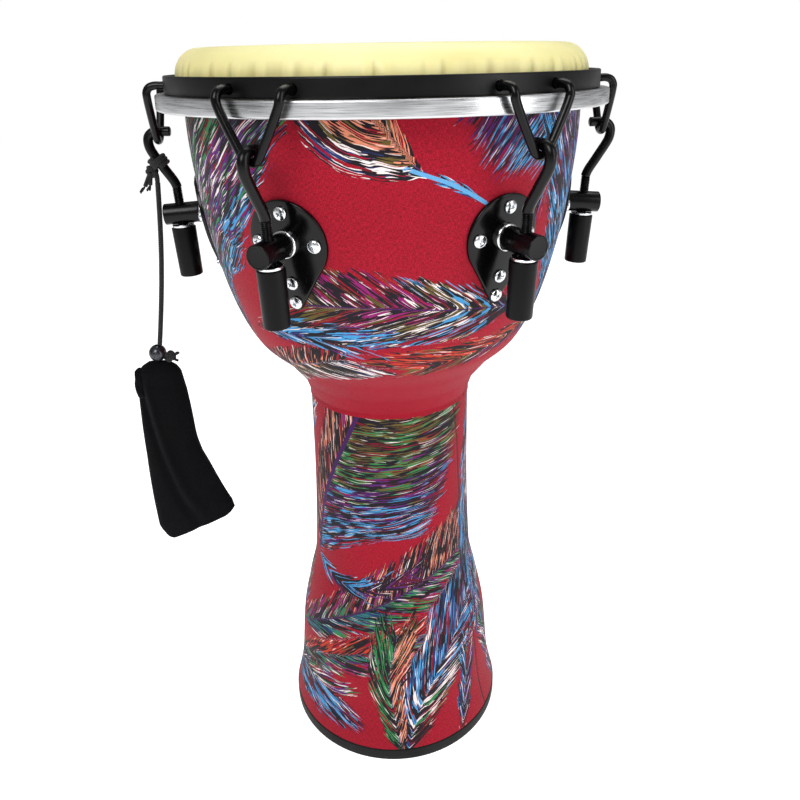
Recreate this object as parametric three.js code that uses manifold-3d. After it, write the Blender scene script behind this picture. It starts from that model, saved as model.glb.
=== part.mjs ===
// Djembe: a rope-free goblet drum with six bolt-on tuning lugs and a hanging tassel.
// Millimetres, +Z up, origin on the floor under the drum's axis. Azimuth 0 faces -Y and 90 faces +X.
import * as THREE from 'three';
import { mergeVertices } from 'three/addons/utils/BufferGeometryUtils.js';
import Module from 'manifold-3d';

const wasm = await Module();
wasm.setup();

// ---- Driving dimensions ------------------------------------------------------------------------
const GAP = 0.3; // air between neighbouring pieces
const WIRE_SIDES = 6; // facets around a bent rod
const SCREW_HOLE_SIDES = 4;
const SEGMENTS = 36; // facets around the drum; a multiple of 6, so every lug sits on a facet edge

// Goblet body, measured on the outside of the fabric
const mouthHeight = 573; // where the fabric ends, under the hoops
const mouthRadius = 152.2;
const bowlStart = 325; // height of the waist where the bowl begins to open
const stemRadius = 68.6;
const stemFlareTop = 270; // height where the flared foot has become the straight stem
const footRadius = 96.8;
const shellWall = 5.5;
const waistJoint = 5; // where stem and bowl are joined, below bowlStart
const fabricThickness = 0.9;

// Rubber foot ring
const footRingHeight = 11;
const footRingRadius = 97.4;
const footRingFloor = 3;
const footRingLip = 2.5;
const footRingGrip = 8; // how far the inner lip climbs the shell
const footStep = 1.1; // how far the shell steps in, to sit in the ring

// Rim, drumhead and hoops
const shoulderRadius = 17; // rounded edge of the drumhead
const filmThickness = 1.2;
const headRise = 32.3; // drumhead's flat top above mouthHeight
const rimInset = 1.8; // roundover on the inside of the bearing edge
const rimStep = 2.8; // how far the bearing edge stands out from the bowl
const rimStepRise = 10; // height of that step above mouthHeight
const rimBackRise = 8; // where the wall starts to lean outwards on its inside
const collarTop = 4; // drumhead's upright edge, below its shoulder
const collarBottom = 4.4; // end of its slope, above the flesh hoop
const hoopLip = 2.3; // wall between the hoop's bore and its slot
const slotPlay = 0.4;
const slotDepth = 8.6;
const filmSeat = 6; // length of film inside the slot
const fleshHoopWidth = 17.4;
const fleshHoopHeight = 11.2;
const fleshHoopRise = 0.6; // top of the flesh hoop above mouthHeight
const bandSeat = 3.2; // from the flesh hoop's slot out to the band
const bandThickness = 3;
const bandHeight = 12.8;

// Claws and tension rods
const lugCount = 6;
const firstLugAzimuth = -90;
const wireRadius = 3;
const clawSpread = 23; // half the distance between a claw's two legs
const clawHoleRise = 5.6; // hole centre above the band's lower edge
const clawHoopClearance = 1.7;
const clawCornerBend = 6;
const clawHeadRadius = 4.2;
const clawHeadLength = 1.6;
const hookDrop = 35; // from the band's holes to the hook's straight end
const rodRadius = 3.8;
const hookThrow = 1.4; // air between the claw's bend and the rod's outer leg
const hookBend = 7;
const hookEndLength = 10.8;
const rodTilt = THREE.MathUtils.degToRad(4);
const rodEngagement = 25; // rod inside the tuning nut
const rodPlay = 0.45;

// Lugs
const lugDrop = 91.6; // plate and post centre below mouthHeight
const plateThickness = 2.6;
const plateRadius = 29.5;
const plateTipRadius = 4;
const plateTipDrop = 45; // centre of the plate's rounded tip below its middle
const fabricCutMargin = 3.5; // fabric's hole, inside the plate's edge
const backingMargin = 3;
const backingThickness = 2.5;
const postReach = 21.6; // from the wall to the tension rod, along the post
const postEnd = 12.9; // post beyond the tension rod
const postRadius = 8.5;
const postRootGap = 14.9; // from the tension rod back to the post's shoulder
const studRadius = 5;
const ringRadius = 9.7;
const screwShankRadius = 2.2;
const screwHeadRadius = 4.75;
const screwHeadHeight = 2.6;
const screwTopRise = 21;
const screwSideReach = 21.6;
const screwLowDrops = [28, 42.5];

// Washer and tuning nut
const washerRadius = 8.7;
const washerThickness = 2;
const nutLength = 40.5;
const nutTopRadius = 9.6;
const nutEndRadius = 9.1;
const nutEndRound = 1.6;
const nutSpareDepth = 7; // empty bore below the rod
const socketDepth = 5.5;
const socketRadius = 4;

// Tassel, hanging from the first lug's tension rod
const cordRadius = 2;
const beadRadius = 6.7;
const tasselHalfTop = 19.5;
const tasselHalfBottom = 36;
const tasselDepthShare = 0.4; // thickness of the tassel against its width
const tasselLength = 175;
const tasselDrift = 20; // how far its foot hangs nearer to the drum than its top
const tasselHemSlant = 0.43;

// ---- Materials ---------------------------------------------------------------------------------
function finish(color, roughness, metalness) {
  return new THREE.MeshStandardMaterial({ color, roughness, metalness });
}
const looks = {
  fabric: finish(0xa8112f, 0.9, 0),
  fibreglass: finish(0x1d1d1f, 0.55, 0),
  film: finish(0xf3eab5, 0.55, 0),
  aluminium: finish(0xb9babc, 0.35, 1),
  blackSteel: finish(0x121213, 0.3, 0.6),
  powderCoat: finish(0x161617, 0.5, 0.4),
  bareSteel: finish(0xc9cacc, 0.2, 1),
  blackCap: finish(0x19191a, 0.6, 0.1),
  rubber: finish(0x1a1a1b, 0.85, 0),
  cord: finish(0x101011, 0.85, 0),
  bead: finish(0x54555a, 0.25, 0.8),
  velvet: finish(0x0c0c10, 0.95, 0),
};

// ---- Small tools -------------------------------------------------------------------------------
function toSolid(geometry) {
  const bare = new THREE.BufferGeometry();
  bare.setAttribute('position', geometry.getAttribute('position').clone());
  if (geometry.index) bare.setIndex(geometry.index.clone());
  const merged = mergeVertices(bare, 1e-4);
  const at = merged.getAttribute('position');
  const triangles = [];
  let volume = 0;
  const [a, b, c] = [new THREE.Vector3(), new THREE.Vector3(), new THREE.Vector3()];
  for (let i = 0; i < merged.index.count; i += 3) {
    const [p, q, r] = [0, 1, 2].map((j) => merged.index.getX(i + j));
    if (p === q || q === r || r === p) continue;
    a.fromBufferAttribute(at, p);
    b.fromBufferAttribute(at, q);
    c.fromBufferAttribute(at, r);
    volume += a.dot(b.cross(c));
    triangles.push([p, q, r]);
  }
  const outward = volume > 0 ? triangles : triangles.map(([p, q, r]) => [p, r, q]);
  return new wasm.Manifold(new wasm.Mesh({
    numProp: 3,
    vertProperties: new Float32Array(at.array),
    triVerts: new Uint32Array(outward.flat()),
  }));
}

function toGeometry(solid) {
  const mesh = solid.getMesh();
  const geometry = new THREE.BufferGeometry();
  geometry.setAttribute('position', new THREE.BufferAttribute(mesh.vertProperties, mesh.numProp));
  geometry.setIndex(new THREE.BufferAttribute(mesh.triVerts, 1));
  geometry.computeVertexNormals();
  return geometry;
}

function turned(profile, segments = SEGMENTS) {
  const points = profile.map(([radius, height]) => new THREE.Vector2(radius, height));
  return new THREE.LatheGeometry(points, segments).rotateX(Math.PI / 2);
}

// A ring's profile is a loop; this repeats its first point at the end.
function ring(profile, segments = SEGMENTS) {
  return turned([...profile, profile[0]], segments);
}

// Turns a shape made around +Z so that its axis runs from one point towards another.
function aimed(geometry, from, direction) {
  const turn = new THREE.Quaternion().setFromUnitVectors(new THREE.Vector3(0, 0, 1), direction);
  return geometry.applyQuaternion(turn).translate(from.x, from.y, from.z);
}

function bar(from, to, radius, sides) {
  const direction = to.clone().sub(from);
  const profile = [[0, 0], [radius, 0], [radius, direction.length()], [0, direction.length()]];
  return aimed(turned(profile, sides), from, direction.normalize());
}

// Circumradius of a polygonal hole whose flats still clear a round piece.
function holeRadius(radius, play, sides) {
  return (radius + play) / Math.cos(Math.PI / sides);
}

function arc(centre, radius, fromDegrees, toDegrees, steps) {
  return Array.from({ length: steps + 1 }, (_, i) => {
    const angle = THREE.MathUtils.degToRad(fromDegrees + ((toDegrees - fromDegrees) * i) / steps);
    return [centre[0] + radius * Math.cos(angle), centre[1] + radius * Math.sin(angle)];
  });
}

// A smooth curve sampled evenly between its points, so bends with more points come out finer.
class PointedCurve extends THREE.CatmullRomCurve3 {
  getUtoTmapping(u) {
    return u;
  }
}

function swept(points, radius, sides, stepsPerPoint) {
  const outline = arc([0, 0], radius, 0, 360 - 360 / sides, sides - 1);
  const section = new THREE.Shape(outline.map(([x, y]) => new THREE.Vector2(x, y)));
  const path = new PointedCurve(points, false, 'centripetal');
  const steps = (points.length - 1) * stepsPerPoint;
  return new THREE.ExtrudeGeometry(section, { steps, extrudePath: path, bevelEnabled: false });
}

// ---- The goblet's outline ----------------------------------------------------------------------
// Each row is a share of the way from one end of the curve to the other: [radius share, height share].
const footCurve = [[1, 0], [0.79, 0.112], [0.61, 0.334], [0.362, 0.467], [0.106, 0.6]];
const bowlCurve = [
  [0, 0], [0.218, 0.123], [0.495, 0.216], [0.644, 0.309], [0.762, 0.424], [0.913, 0.655], [0.99, 0.887], [1, 1],
];
const footTop = footRingHeight + GAP;
const outline = [
  ...footCurve.map(([r, z]) => [
    stemRadius + (footRadius - stemRadius) * r,
    footTop + (stemFlareTop - footTop) * z,
  ]),
  [stemRadius, stemFlareTop],
  ...bowlCurve.map(([r, z]) => [
    stemRadius + (mouthRadius - stemRadius) * r,
    bowlStart + (mouthHeight - bowlStart) * z,
  ]),
];

// The outline moved along its own normals, outwards when the distance is positive.
function offsetOutline(distance) {
  const normals = outline.slice(1).map(([r, z], i) => {
    const [dr, dz] = [r - outline[i][0], z - outline[i][1]];
    const length = Math.hypot(dr, dz);
    return [dz / length, -dr / length];
  });
  return outline.map(([r, z], i) => {
    const before = normals[Math.max(i - 1, 0)];
    const after = normals[Math.min(i, normals.length - 1)];
    const share = distance / (1 + before[0] * after[0] + before[1] * after[1]);
    return [r + (before[0] + after[0]) * share, z + (before[1] + after[1]) * share];
  });
}

function wallAt(height) {
  const i = outline.findIndex(([, z], j) => j > 0 && z >= height);
  const [low, high] = [outline[i - 1], outline[i]];
  const share = (height - low[1]) / (high[1] - low[1]);
  const tangent = new THREE.Vector2(high[0] - low[0], high[1] - low[1]).normalize();
  return { radius: low[0] + (high[0] - low[0]) * share, normal: [tangent.y, -tangent.x] };
}

const shellGap = fabricThickness + GAP;
const shellOuter = offsetOutline(-shellGap);
const shellInner = offsetOutline(-shellGap - shellWall);

// ---- Pieces around the whole drum --------------------------------------------------------------
const headTop = mouthHeight + headRise;
const rimRadius = mouthRadius - shellGap + rimStep;
const filmInnerRadius = rimRadius + GAP;
const shoulderCentre = [filmInnerRadius + filmThickness - shoulderRadius, headTop - shoulderRadius];
const rimTopRadius = shoulderRadius - filmThickness - GAP;
const hoopInnerRadius = filmInnerRadius + slotPlay;
const slotInnerRadius = hoopInnerRadius + hoopLip;
const skirtInnerRadius = slotInnerRadius + slotPlay;
const slotOuterRadius = skirtInnerRadius + filmThickness + slotPlay;
const hoopOuterRadius = hoopInnerRadius + fleshHoopWidth;
const hoopTop = mouthHeight + fleshHoopRise;
const bandBottom = hoopTop + GAP;
const bandInnerRadius = slotOuterRadius + bandSeat;
const bandRadius = bandInnerRadius + bandThickness;
const clawHeight = bandBottom + clawHoleRise;

function shellBody() {
  const stub = footRadius - shellGap - footStep;
  const footBottom = footRingFloor + GAP;
  const bore = shellInner[0][0];
  return ring([
    [stub, footBottom],
    [stub, footTop + GAP],
    ...shellOuter.slice(1),
    [rimRadius, mouthHeight + rimStepRise],
    ...arc(shoulderCentre, rimTopRadius, 0, 90, 3),
    [shoulderCentre[0] - rimInset, headTop - filmThickness - GAP - rimInset],
    [shellInner.at(-1)[0], mouthHeight + rimBackRise],
    ...shellInner.slice(1, -1).reverse(),
    [bore, footTop],
    [bore, footBottom],
  ]);
}

// The moulded shell is made in two halves that meet at the waist.
function shellHalf(fromHeight, toHeight) {
  const block = turned([[0, fromHeight], [2 * mouthRadius, fromHeight], [2 * mouthRadius, toHeight], [0, toHeight]], 4);
  return toSolid(shellBody()).intersect(toSolid(block));
}

function fabricBody() {
  return ring([...outline, ...offsetOutline(-fabricThickness).reverse()]);
}

function footRing() {
  const channelOuter = footRadius - shellGap - footStep + GAP;
  const channelInner = shellInner[0][0] - GAP;
  const lipTop = footRingFloor + footRingGrip;
  return ring([
    [channelInner - footRingLip, 0],
    [footRingRadius, 0],
    [footRingRadius, footRingHeight],
    [channelOuter, footRingHeight],
    [channelOuter, footRingFloor],
    [channelInner, footRingFloor],
    [channelInner, lipTop],
    [channelInner - footRingLip, lipTop],
  ]);
}

function drumhead() {
  const flareTop = headTop - shoulderRadius - collarTop;
  const flareBottom = hoopTop + collarBottom;
  const hem = hoopTop - filmSeat;
  const inner = shoulderRadius - filmThickness;
  return turned([
    [0, headTop],
    ...arc(shoulderCentre, shoulderRadius, 90, 0, 3),
    [shoulderCentre[0] + shoulderRadius, flareTop],
    [skirtInnerRadius + filmThickness, flareBottom],
    [skirtInnerRadius + filmThickness, hem],
    [skirtInnerRadius, hem],
    [skirtInnerRadius, flareBottom + GAP],
    [filmInnerRadius, flareTop + GAP],
    ...arc(shoulderCentre, inner, 0, 90, 3),
    [0, headTop - filmThickness],
  ]);
}

function fleshHoop() {
  const bottom = hoopTop - fleshHoopHeight;
  return ring([
    [hoopInnerRadius, bottom],
    [hoopOuterRadius, bottom],
    [hoopOuterRadius, hoopTop],
    [slotOuterRadius, hoopTop],
    [slotOuterRadius, hoopTop - slotDepth],
    [slotInnerRadius, hoopTop - slotDepth],
    [slotInnerRadius, hoopTop],
    [hoopInnerRadius, hoopTop],
  ]);
}

function counterhoop() {
  return ring([
    [bandInnerRadius, bandBottom],
    [bandRadius, bandBottom],
    [bandRadius, bandBottom + bandHeight],
    [bandInnerRadius, bandBottom + bandHeight],
  ]);
}

// ---- Pieces of one lug, in a frame whose -Y points away from the drum's axis ---------------------
function spot(across, radius, height) {
  return new THREE.Vector3(across, -radius, height);
}

const lugCentre = mouthHeight - lugDrop;
const rodUp = [Math.sin(rodTilt), Math.cos(rodTilt)]; // [outwards, up]
const postOut = [Math.cos(rodTilt), -Math.sin(rodTilt)];
const rodCross = [
  wallAt(lugCentre).radius + postReach * postOut[0],
  lugCentre + postReach * postOut[1],
];

function onRod(distance) {
  return spot(0, rodCross[0] + rodUp[0] * distance, rodCross[1] + rodUp[1] * distance);
}

function onPost(distance) {
  return spot(0, rodCross[0] + postOut[0] * distance, rodCross[1] + postOut[1] * distance);
}

const clawPlane = hoopOuterRadius + clawHoopClearance + wireRadius;
const hookHeight = clawHeight - hookDrop;
const hookOuter = clawPlane + wireRadius + hookThrow + rodRadius;
const clawSeatRadius = wireRadius + rodRadius + GAP + 0.05;

function claw() {
  const corner = [clawSpread, clawHeight - clawCornerBend - 2];
  const reach = Math.hypot(corner[0], corner[1] - hookHeight);
  const lean = Math.atan2(corner[1] - hookHeight, corner[0]) - Math.acos(clawSeatRadius / reach);
  const leanDegrees = THREE.MathUtils.radToDeg(lean);
  const inner = Math.sqrt((bandInnerRadius - GAP) ** 2 - (clawSpread + clawHeadRadius) ** 2);
  const headStart = inner - clawHeadLength - 0.2;
  const bend = clawCornerBend;
  const seat = arc([0, hookHeight], clawSeatRadius, leanDegrees, -180 - leanDegrees, 5);
  const leg = [
    spot(clawSpread, headStart + 0.4, clawHeight),
    spot(clawSpread, clawPlane - bend, clawHeight),
    spot(clawSpread, clawPlane - bend * 0.3, clawHeight - bend * 0.3),
    spot(corner[0], clawPlane, corner[1]),
  ];
  const mirrored = leg.map((p) => new THREE.Vector3(-p.x, p.y, p.z)).reverse();
  const path = [...leg, ...seat.map(([x, z]) => spot(x, clawPlane, z)), ...mirrored];
  const wire = toSolid(swept(path, wireRadius, WIRE_SIDES, 1));
  return [1, -1].reduce((body, side) => {
    const from = spot(side * clawSpread, headStart, clawHeight);
    const to = spot(side * clawSpread, headStart + clawHeadLength, clawHeight);
    return body.add(toSolid(bar(from, to, clawHeadRadius, 8)));
  }, wire);
}

function clawHole(side) {
  const hole = holeRadius(wireRadius, 0.4, 8);
  const from = spot(side * clawSpread, bandInnerRadius - 12, clawHeight);
  const to = spot(side * clawSpread, bandRadius + 8, clawHeight);
  return bar(from, to, hole, 8);
}

function rodPath() {
  const straightTop = rodCross[1] + (postRadius + 14) * rodUp[1];
  const straightRadius = rodCross[0] + (postRadius + 14) * rodUp[0];
  const legFoot = hookHeight - hookBend * 1.9;
  const middle = [(straightRadius + hookOuter) / 2, (straightTop + legFoot) / 2];
  const bend = arc([hookOuter - hookBend, hookHeight - hookBend], hookBend, 0, 90, 3);
  return [
    onRod(-postRadius - washerThickness - 2 * GAP - rodEngagement),
    onRod(0),
    onRod(postRadius + 5),
    spot(0, straightRadius, straightTop),
    spot(0, middle[0], middle[1]),
    spot(0, hookOuter - 1, legFoot),
    ...bend.map(([radius, height]) => spot(0, radius, height)),
    spot(0, hookOuter - hookBend - hookEndLength, hookHeight),
  ];
}

function tensionRod() {
  return toSolid(swept(rodPath(), rodRadius, WIRE_SIDES, 2));
}

// Teardrop: a large circle and a small one below it, joined by their common tangents.
function teardropPrism(radius, tipRadius, fromRadius, toRadius, curveSegments = 5) {
  const lean = Math.asin((radius - tipRadius) / plateTipDrop);
  const shape = new THREE.Shape();
  shape.absarc(0, lugCentre, radius, -lean, Math.PI + lean, false);
  shape.absarc(0, lugCentre - plateTipDrop, tipRadius, Math.PI + lean, 2 * Math.PI - lean, false);
  const options = { depth: toRadius - fromRadius, bevelEnabled: false, curveSegments };
  return new THREE.ExtrudeGeometry(shape, options).translate(0, 0, fromRadius).rotateX(Math.PI / 2);
}

// A layer that follows the bowl's wall, between two distances from the fabric's outside.
function wallLayer(innerOffset, outerOffset) {
  const reach = plateRadius + plateTipDrop + 30;
  const near = ([, z]) => Math.abs(z - lugCentre) < reach;
  const inside = offsetOutline(innerOffset).filter(near);
  const outside = offsetOutline(outerOffset).filter(near);
  return toSolid(ring([...outside, ...inside.reverse()]));
}

// The plate's outline is cut through the wall from well inside the bowl to well outside it.
const cutFrom = mouthRadius * 0.5;
const cutTo = mouthRadius * 1.25;
const plateInner = GAP;
const plateOuter = plateInner + plateThickness;
const backingOuter = -shellGap - shellWall - GAP;
const backingInner = backingOuter - backingThickness;
const screwSpots = [
  [0, screwTopRise], [-screwSideReach, 0], [screwSideReach, 0], ...screwLowDrops.map((drop) => [0, -drop]),
];

// A screw's place on the wall: a point on the fabric's outside and the way out of the wall.
function screwAxis([across, rise]) {
  const height = lugCentre + rise;
  const { radius, normal } = wallAt(height);
  const azimuth = Math.asin(across / (radius + plateOuter));
  const [s, c] = [Math.sin(azimuth), Math.cos(azimuth)];
  const point = new THREE.Vector3(radius * s, -radius * c, height);
  const out = new THREE.Vector3(normal[0] * s, -normal[0] * c, normal[1]);
  return { point, out };
}

function along({ point, out }, distance) {
  return point.clone().addScaledVector(out, distance);
}

function lugDrill() {
  const shankHole = holeRadius(screwShankRadius, 0.35, SCREW_HOLE_SIDES);
  const studHole = holeRadius(studRadius, 0.4, 8);
  const stud = bar(onPost(-postReach - 25), onPost(-postRootGap + 2), studHole, 8);
  const screws = screwSpots.map(screwAxis).map((axis) => (
    bar(along(axis, -20), along(axis, 10), shankHole, SCREW_HOLE_SIDES)
  ));
  return [...screws, stud];
}

function drilled(solid, drills) {
  return drills.reduce((body, drill) => body.subtract(toSolid(drill)), solid);
}

// The fabric is cut away under each plate, which hides the edge of the cut.
function fabricCut() {
  return teardropPrism(plateRadius - fabricCutMargin, plateTipRadius, cutFrom, cutTo, 3);
}

function lugPlate() {
  const blank = teardropPrism(plateRadius, plateTipRadius, cutFrom, cutTo);
  return drilled(wallLayer(plateInner, plateOuter).intersect(toSolid(blank)), lugDrill());
}

function screw(axis) {
  const under = plateOuter + GAP;
  const head = [
    [0, backingInner + 0.4],
    [screwShankRadius, backingInner + 0.4],
    [screwShankRadius, under],
    [screwHeadRadius, under],
    [screwHeadRadius * 0.72, under + screwHeadHeight * 0.8],
    [0, under + screwHeadHeight],
  ];
  return toSolid(aimed(turned(head, 6), axis.point, axis.out));
}

function lugScrews() {
  const blank = teardropPrism(plateRadius - backingMargin, plateTipRadius, cutFrom, cutTo, 3);
  const backing = wallLayer(backingInner, backingOuter).intersect(toSolid(blank));
  const plate = drilled(backing, lugDrill().slice(-1));
  return screwSpots.map(screwAxis).reduce((body, axis) => body.add(screw(axis)), plate);
}

function lugPost() {
  const depth = postReach + shellGap + shellWall + GAP + backingThickness - 0.4;
  const chamfer = 0.9;
  const profile = [
    [0, -depth],
    [studRadius, -depth],
    [studRadius, -postRootGap],
    [postRadius, -postRootGap],
    [postRadius, postEnd - chamfer],
    [postRadius - chamfer, postEnd],
    [0, postEnd],
  ];
  const out = onPost(1).sub(onPost(0));
  const body = toSolid(aimed(turned(profile, 10), onPost(0), out));
  const hole = holeRadius(rodRadius, rodPlay, 8);
  return body.subtract(toSolid(bar(onRod(-postRadius - 3), onRod(postRadius + 3), hole, 8)));
}

function postRing() {
  const bore = holeRadius(studRadius, 0.4, 10);
  const [from, to] = [-postReach - 1.5, -postRootGap - GAP];
  const tube = ring([[bore, from], [ringRadius, from], [ringRadius, to], [bore, to]], 10);
  const out = onPost(1).sub(onPost(0));
  return toSolid(aimed(tube, onPost(0), out)).subtract(wallLayer(-2 * ringRadius, plateOuter + GAP));
}

const washerTop = -postRadius - GAP;
const nutTop = washerTop - washerThickness - GAP;

function washer() {
  const bore = holeRadius(rodRadius, rodPlay, 8);
  const low = washerTop - washerThickness;
  const profile = [[bore, low], [washerRadius, low], [washerRadius, washerTop], [bore, washerTop]];
  return toSolid(aimed(ring(profile, 8), onRod(0), onRod(1).sub(onRod(0))));
}

function tuningNut() {
  const bore = holeRadius(rodRadius, 0.4, 12);
  const floor = nutTop - rodEngagement - nutSpareDepth;
  const low = nutTop - nutLength;
  const profile = [
    [0, low],
    [nutEndRadius - nutEndRound, low],
    [nutEndRadius, low + nutEndRound],
    [nutTopRadius, nutTop],
    [bore, nutTop],
    [bore, floor],
    [0, floor],
  ];
  const up = onRod(1).sub(onRod(0));
  const body = toSolid(aimed(turned(profile, 12), onRod(0), up));
  return body.subtract(toSolid(bar(onRod(low - 2), onRod(low + socketDepth), socketRadius, 6)));
}

// ---- Tassel, in the first lug's frame ------------------------------------------------------------
const knotShare = 0.43; // place of the knot along the rod's path
const rodCurve = new PointedCurve(rodPath(), false, 'centripetal');
const knotPoint = rodCurve.getPoint(knotShare);
const [knotRadius, knotHeight] = [-knotPoint.y, knotPoint.z];
const knotOut = 6.6; // round knot's centre outside the loop's, and as far again below it
const knotDrop = 8.4;
const cordTop = [knotRadius + 2.6, knotHeight - 16];
const beadCentre = [cordTop[0] + 16, cordTop[1] - 145];
const cordEntry = 2.5; // where the cord meets the bead, inwards of its centre

// A loop around the rod's slanted part, a round knot outside it and two loose tails.
function cordKnot() {
  const bore = holeRadius(rodRadius, 0.55, 8);
  const loop = ring([[bore, -4], [bore + 3, -4], [bore + 3, 4], [bore, 4]], 8);
  const knot = new THREE.SphereGeometry(4.8, 8, 5).translate(0, -knotRadius - knotOut, knotHeight - knotDrop);
  const tails = [[-3.2, 6.5], [3.4, 10]].map(([across, out]) => bar(
    spot(across * 0.2, knotRadius + knotOut, knotHeight - knotDrop),
    spot(across, knotRadius + knotOut + out, knotHeight - knotDrop - 16),
    cordRadius * 0.8,
    5,
  ));
  const wrap = aimed(loop, knotPoint, rodCurve.getTangent(knotShare));
  return [wrap, knot, ...tails].map(toSolid).reduce((body, solid) => body.add(solid));
}

function tasselCord() {
  const rise = Math.sqrt(beadRadius ** 2 - cordEntry ** 2) + GAP + 0.5;
  const low = [beadCentre[0] - cordEntry, beadCentre[1] + rise];
  const points = [0, 1, 2, 3, 4].map((i) => {
    const share = i / 4;
    const bow = 2.2 * Math.sin(Math.PI * share);
    const radius = cordTop[0] + (low[0] - cordTop[0]) * share - bow;
    return spot(0, radius, cordTop[1] + (low[1] - cordTop[1]) * share);
  });
  return toSolid(swept(points, cordRadius, 8, 3));
}

function tasselBead() {
  return toSolid(new THREE.SphereGeometry(beadRadius, 10, 7).translate(0, -beadCentre[0], beadCentre[1]));
}

// A flattened cone that swings towards the drum as it falls, with its hem cut on a slant,
// and a small knot on its top beside the bead.
function tasselBody() {
  const spread = (share) => tasselHalfTop + (tasselHalfBottom - tasselHalfTop) * share;
  const profile = [
    [0, 0],
    [tasselHalfTop * 0.7, 0],
    [tasselHalfTop, -tasselLength * 0.05],
    [spread(0.15), -tasselLength * 0.25],
    [spread(0.52), -tasselLength * 0.5],
    [tasselHalfBottom, -tasselLength],
    [0, -tasselLength],
  ];
  const geometry = turned(profile, 16);
  const at = geometry.getAttribute('position');
  const top = beadCentre[1] - beadRadius - GAP - 1;
  for (let i = 0; i < at.count; i += 1) {
    const [x, y, z] = [at.getX(i), at.getY(i), at.getZ(i)];
    const fall = Math.max(-z / tasselLength, 0);
    const inward = tasselDrift * fall ** 1.85;
    const hem = fall > 0.99 ? tasselHemSlant * (y + tasselHalfBottom) : 0;
    at.setXYZ(i, x * tasselDepthShare, y - beadCentre[0] + inward, top + z + hem);
  }
  const knot = new THREE.SphereGeometry(4.4, 8, 6).translate(0, -beadCentre[0] + 12.5, top + 3.4);
  return toSolid(geometry).add(toSolid(knot));
}

// ---- Assembly ----------------------------------------------------------------------------------
const djembe = new THREE.Group();

function place(parent, name, solid, material) {
  const mesh = new THREE.Mesh(toGeometry(solid), material);
  mesh.name = name;
  parent.add(mesh);
}

const lugTurns = Array.from({ length: lugCount }, (_, i) => (
  THREE.MathUtils.degToRad(firstLugAzimuth + (360 / lugCount) * i)
));
const onEveryLug = (shapes) => lugTurns.flatMap((turn) => shapes.map((shape) => shape.clone().rotateZ(turn)));

const wallHoles = onEveryLug(lugDrill());
const waist = bowlStart - waistJoint;
place(djembe, 'shell_stem', shellHalf(0, waist - GAP), looks.fibreglass);
place(djembe, 'shell_bowl', drilled(shellHalf(waist, headTop), wallHoles), looks.fibreglass);
place(djembe, 'fabric_cover', drilled(toSolid(fabricBody()), onEveryLug([fabricCut()])), looks.fabric);
place(djembe, 'foot_ring', toSolid(footRing()), looks.rubber);
place(djembe, 'drumhead', toSolid(drumhead()), looks.film);
place(djembe, 'flesh_hoop', toSolid(fleshHoop()), looks.aluminium);
const clawHoles = onEveryLug([clawHole(1), clawHole(-1)]);
place(djembe, 'counterhoop', drilled(toSolid(counterhoop()), clawHoles), looks.powderCoat);

const lugPieces = [
  ['claw', claw(), looks.blackSteel],
  ['tension_rod', tensionRod(), looks.blackSteel],
  ['lug_plate', lugPlate(), looks.blackSteel],
  ['lug_screws', lugScrews(), looks.bareSteel],
  ['lug_post', lugPost(), looks.blackSteel],
  ['post_ring', postRing(), looks.bareSteel],
  ['washer', washer(), looks.bareSteel],
  ['tuning_nut', tuningNut(), looks.blackCap],
];
lugTurns.forEach((turn, i) => {
  const lug = new THREE.Group();
  lug.rotation.z = turn;
  lugPieces.forEach(([name, solid, material]) => place(lug, `${name}_${i + 1}`, solid, material));
  djembe.add(lug);
});

const tasselGroup = new THREE.Group();
tasselGroup.rotation.z = lugTurns[0];
place(tasselGroup, 'cord_knot', cordKnot(), looks.cord);
place(tasselGroup, 'tassel_cord', tasselCord(), looks.cord);
place(tasselGroup, 'tassel_bead', tasselBead(), looks.bead);
place(tasselGroup, 'tassel', tasselBody(), looks.velvet);
djembe.add(tasselGroup);

export default djembe;
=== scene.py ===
import math

import bmesh
import bpy
import numpy as np
from mathutils import Matrix, Vector


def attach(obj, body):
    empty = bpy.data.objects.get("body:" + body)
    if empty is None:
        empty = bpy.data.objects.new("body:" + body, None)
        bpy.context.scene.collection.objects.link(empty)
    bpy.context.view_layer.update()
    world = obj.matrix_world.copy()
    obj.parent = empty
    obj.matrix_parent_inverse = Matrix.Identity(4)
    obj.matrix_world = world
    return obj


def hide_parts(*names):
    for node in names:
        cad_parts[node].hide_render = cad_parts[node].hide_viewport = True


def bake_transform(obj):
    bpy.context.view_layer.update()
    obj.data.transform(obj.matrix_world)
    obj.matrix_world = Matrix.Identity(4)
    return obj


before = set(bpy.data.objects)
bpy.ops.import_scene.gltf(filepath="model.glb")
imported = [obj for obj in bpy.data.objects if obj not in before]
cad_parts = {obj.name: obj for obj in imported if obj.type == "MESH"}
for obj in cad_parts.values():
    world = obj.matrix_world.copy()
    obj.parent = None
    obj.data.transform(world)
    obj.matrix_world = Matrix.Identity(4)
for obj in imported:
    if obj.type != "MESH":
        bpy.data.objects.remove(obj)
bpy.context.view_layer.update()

# All sizes below are in millimetres unless a comment says otherwise; meshes are made in metres.
MM = 0.001
TURN = 2 * math.pi


def linked(name, data):
    """A new object in the scene that holds a mesh, a lamp or a camera."""
    obj = bpy.data.objects.new(name, data)
    bpy.context.scene.collection.objects.link(obj)
    return obj


# ---- Camera --------------------------------------------------------------------------------------
CAMERA_PLACE = (6.5, -617.7, 595.5)
CAMERA_PITCH = 0.3089  # radians below the horizon
CAMERA_YAW = 0.0066
CAMERA_ROLL = -0.0166
CAMERA_LENS = 34.14
CAMERA_SHIFT = -0.1237
DRUM_TURN = math.radians(-3.7)  # the drum stands turned by this much before the camera


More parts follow.
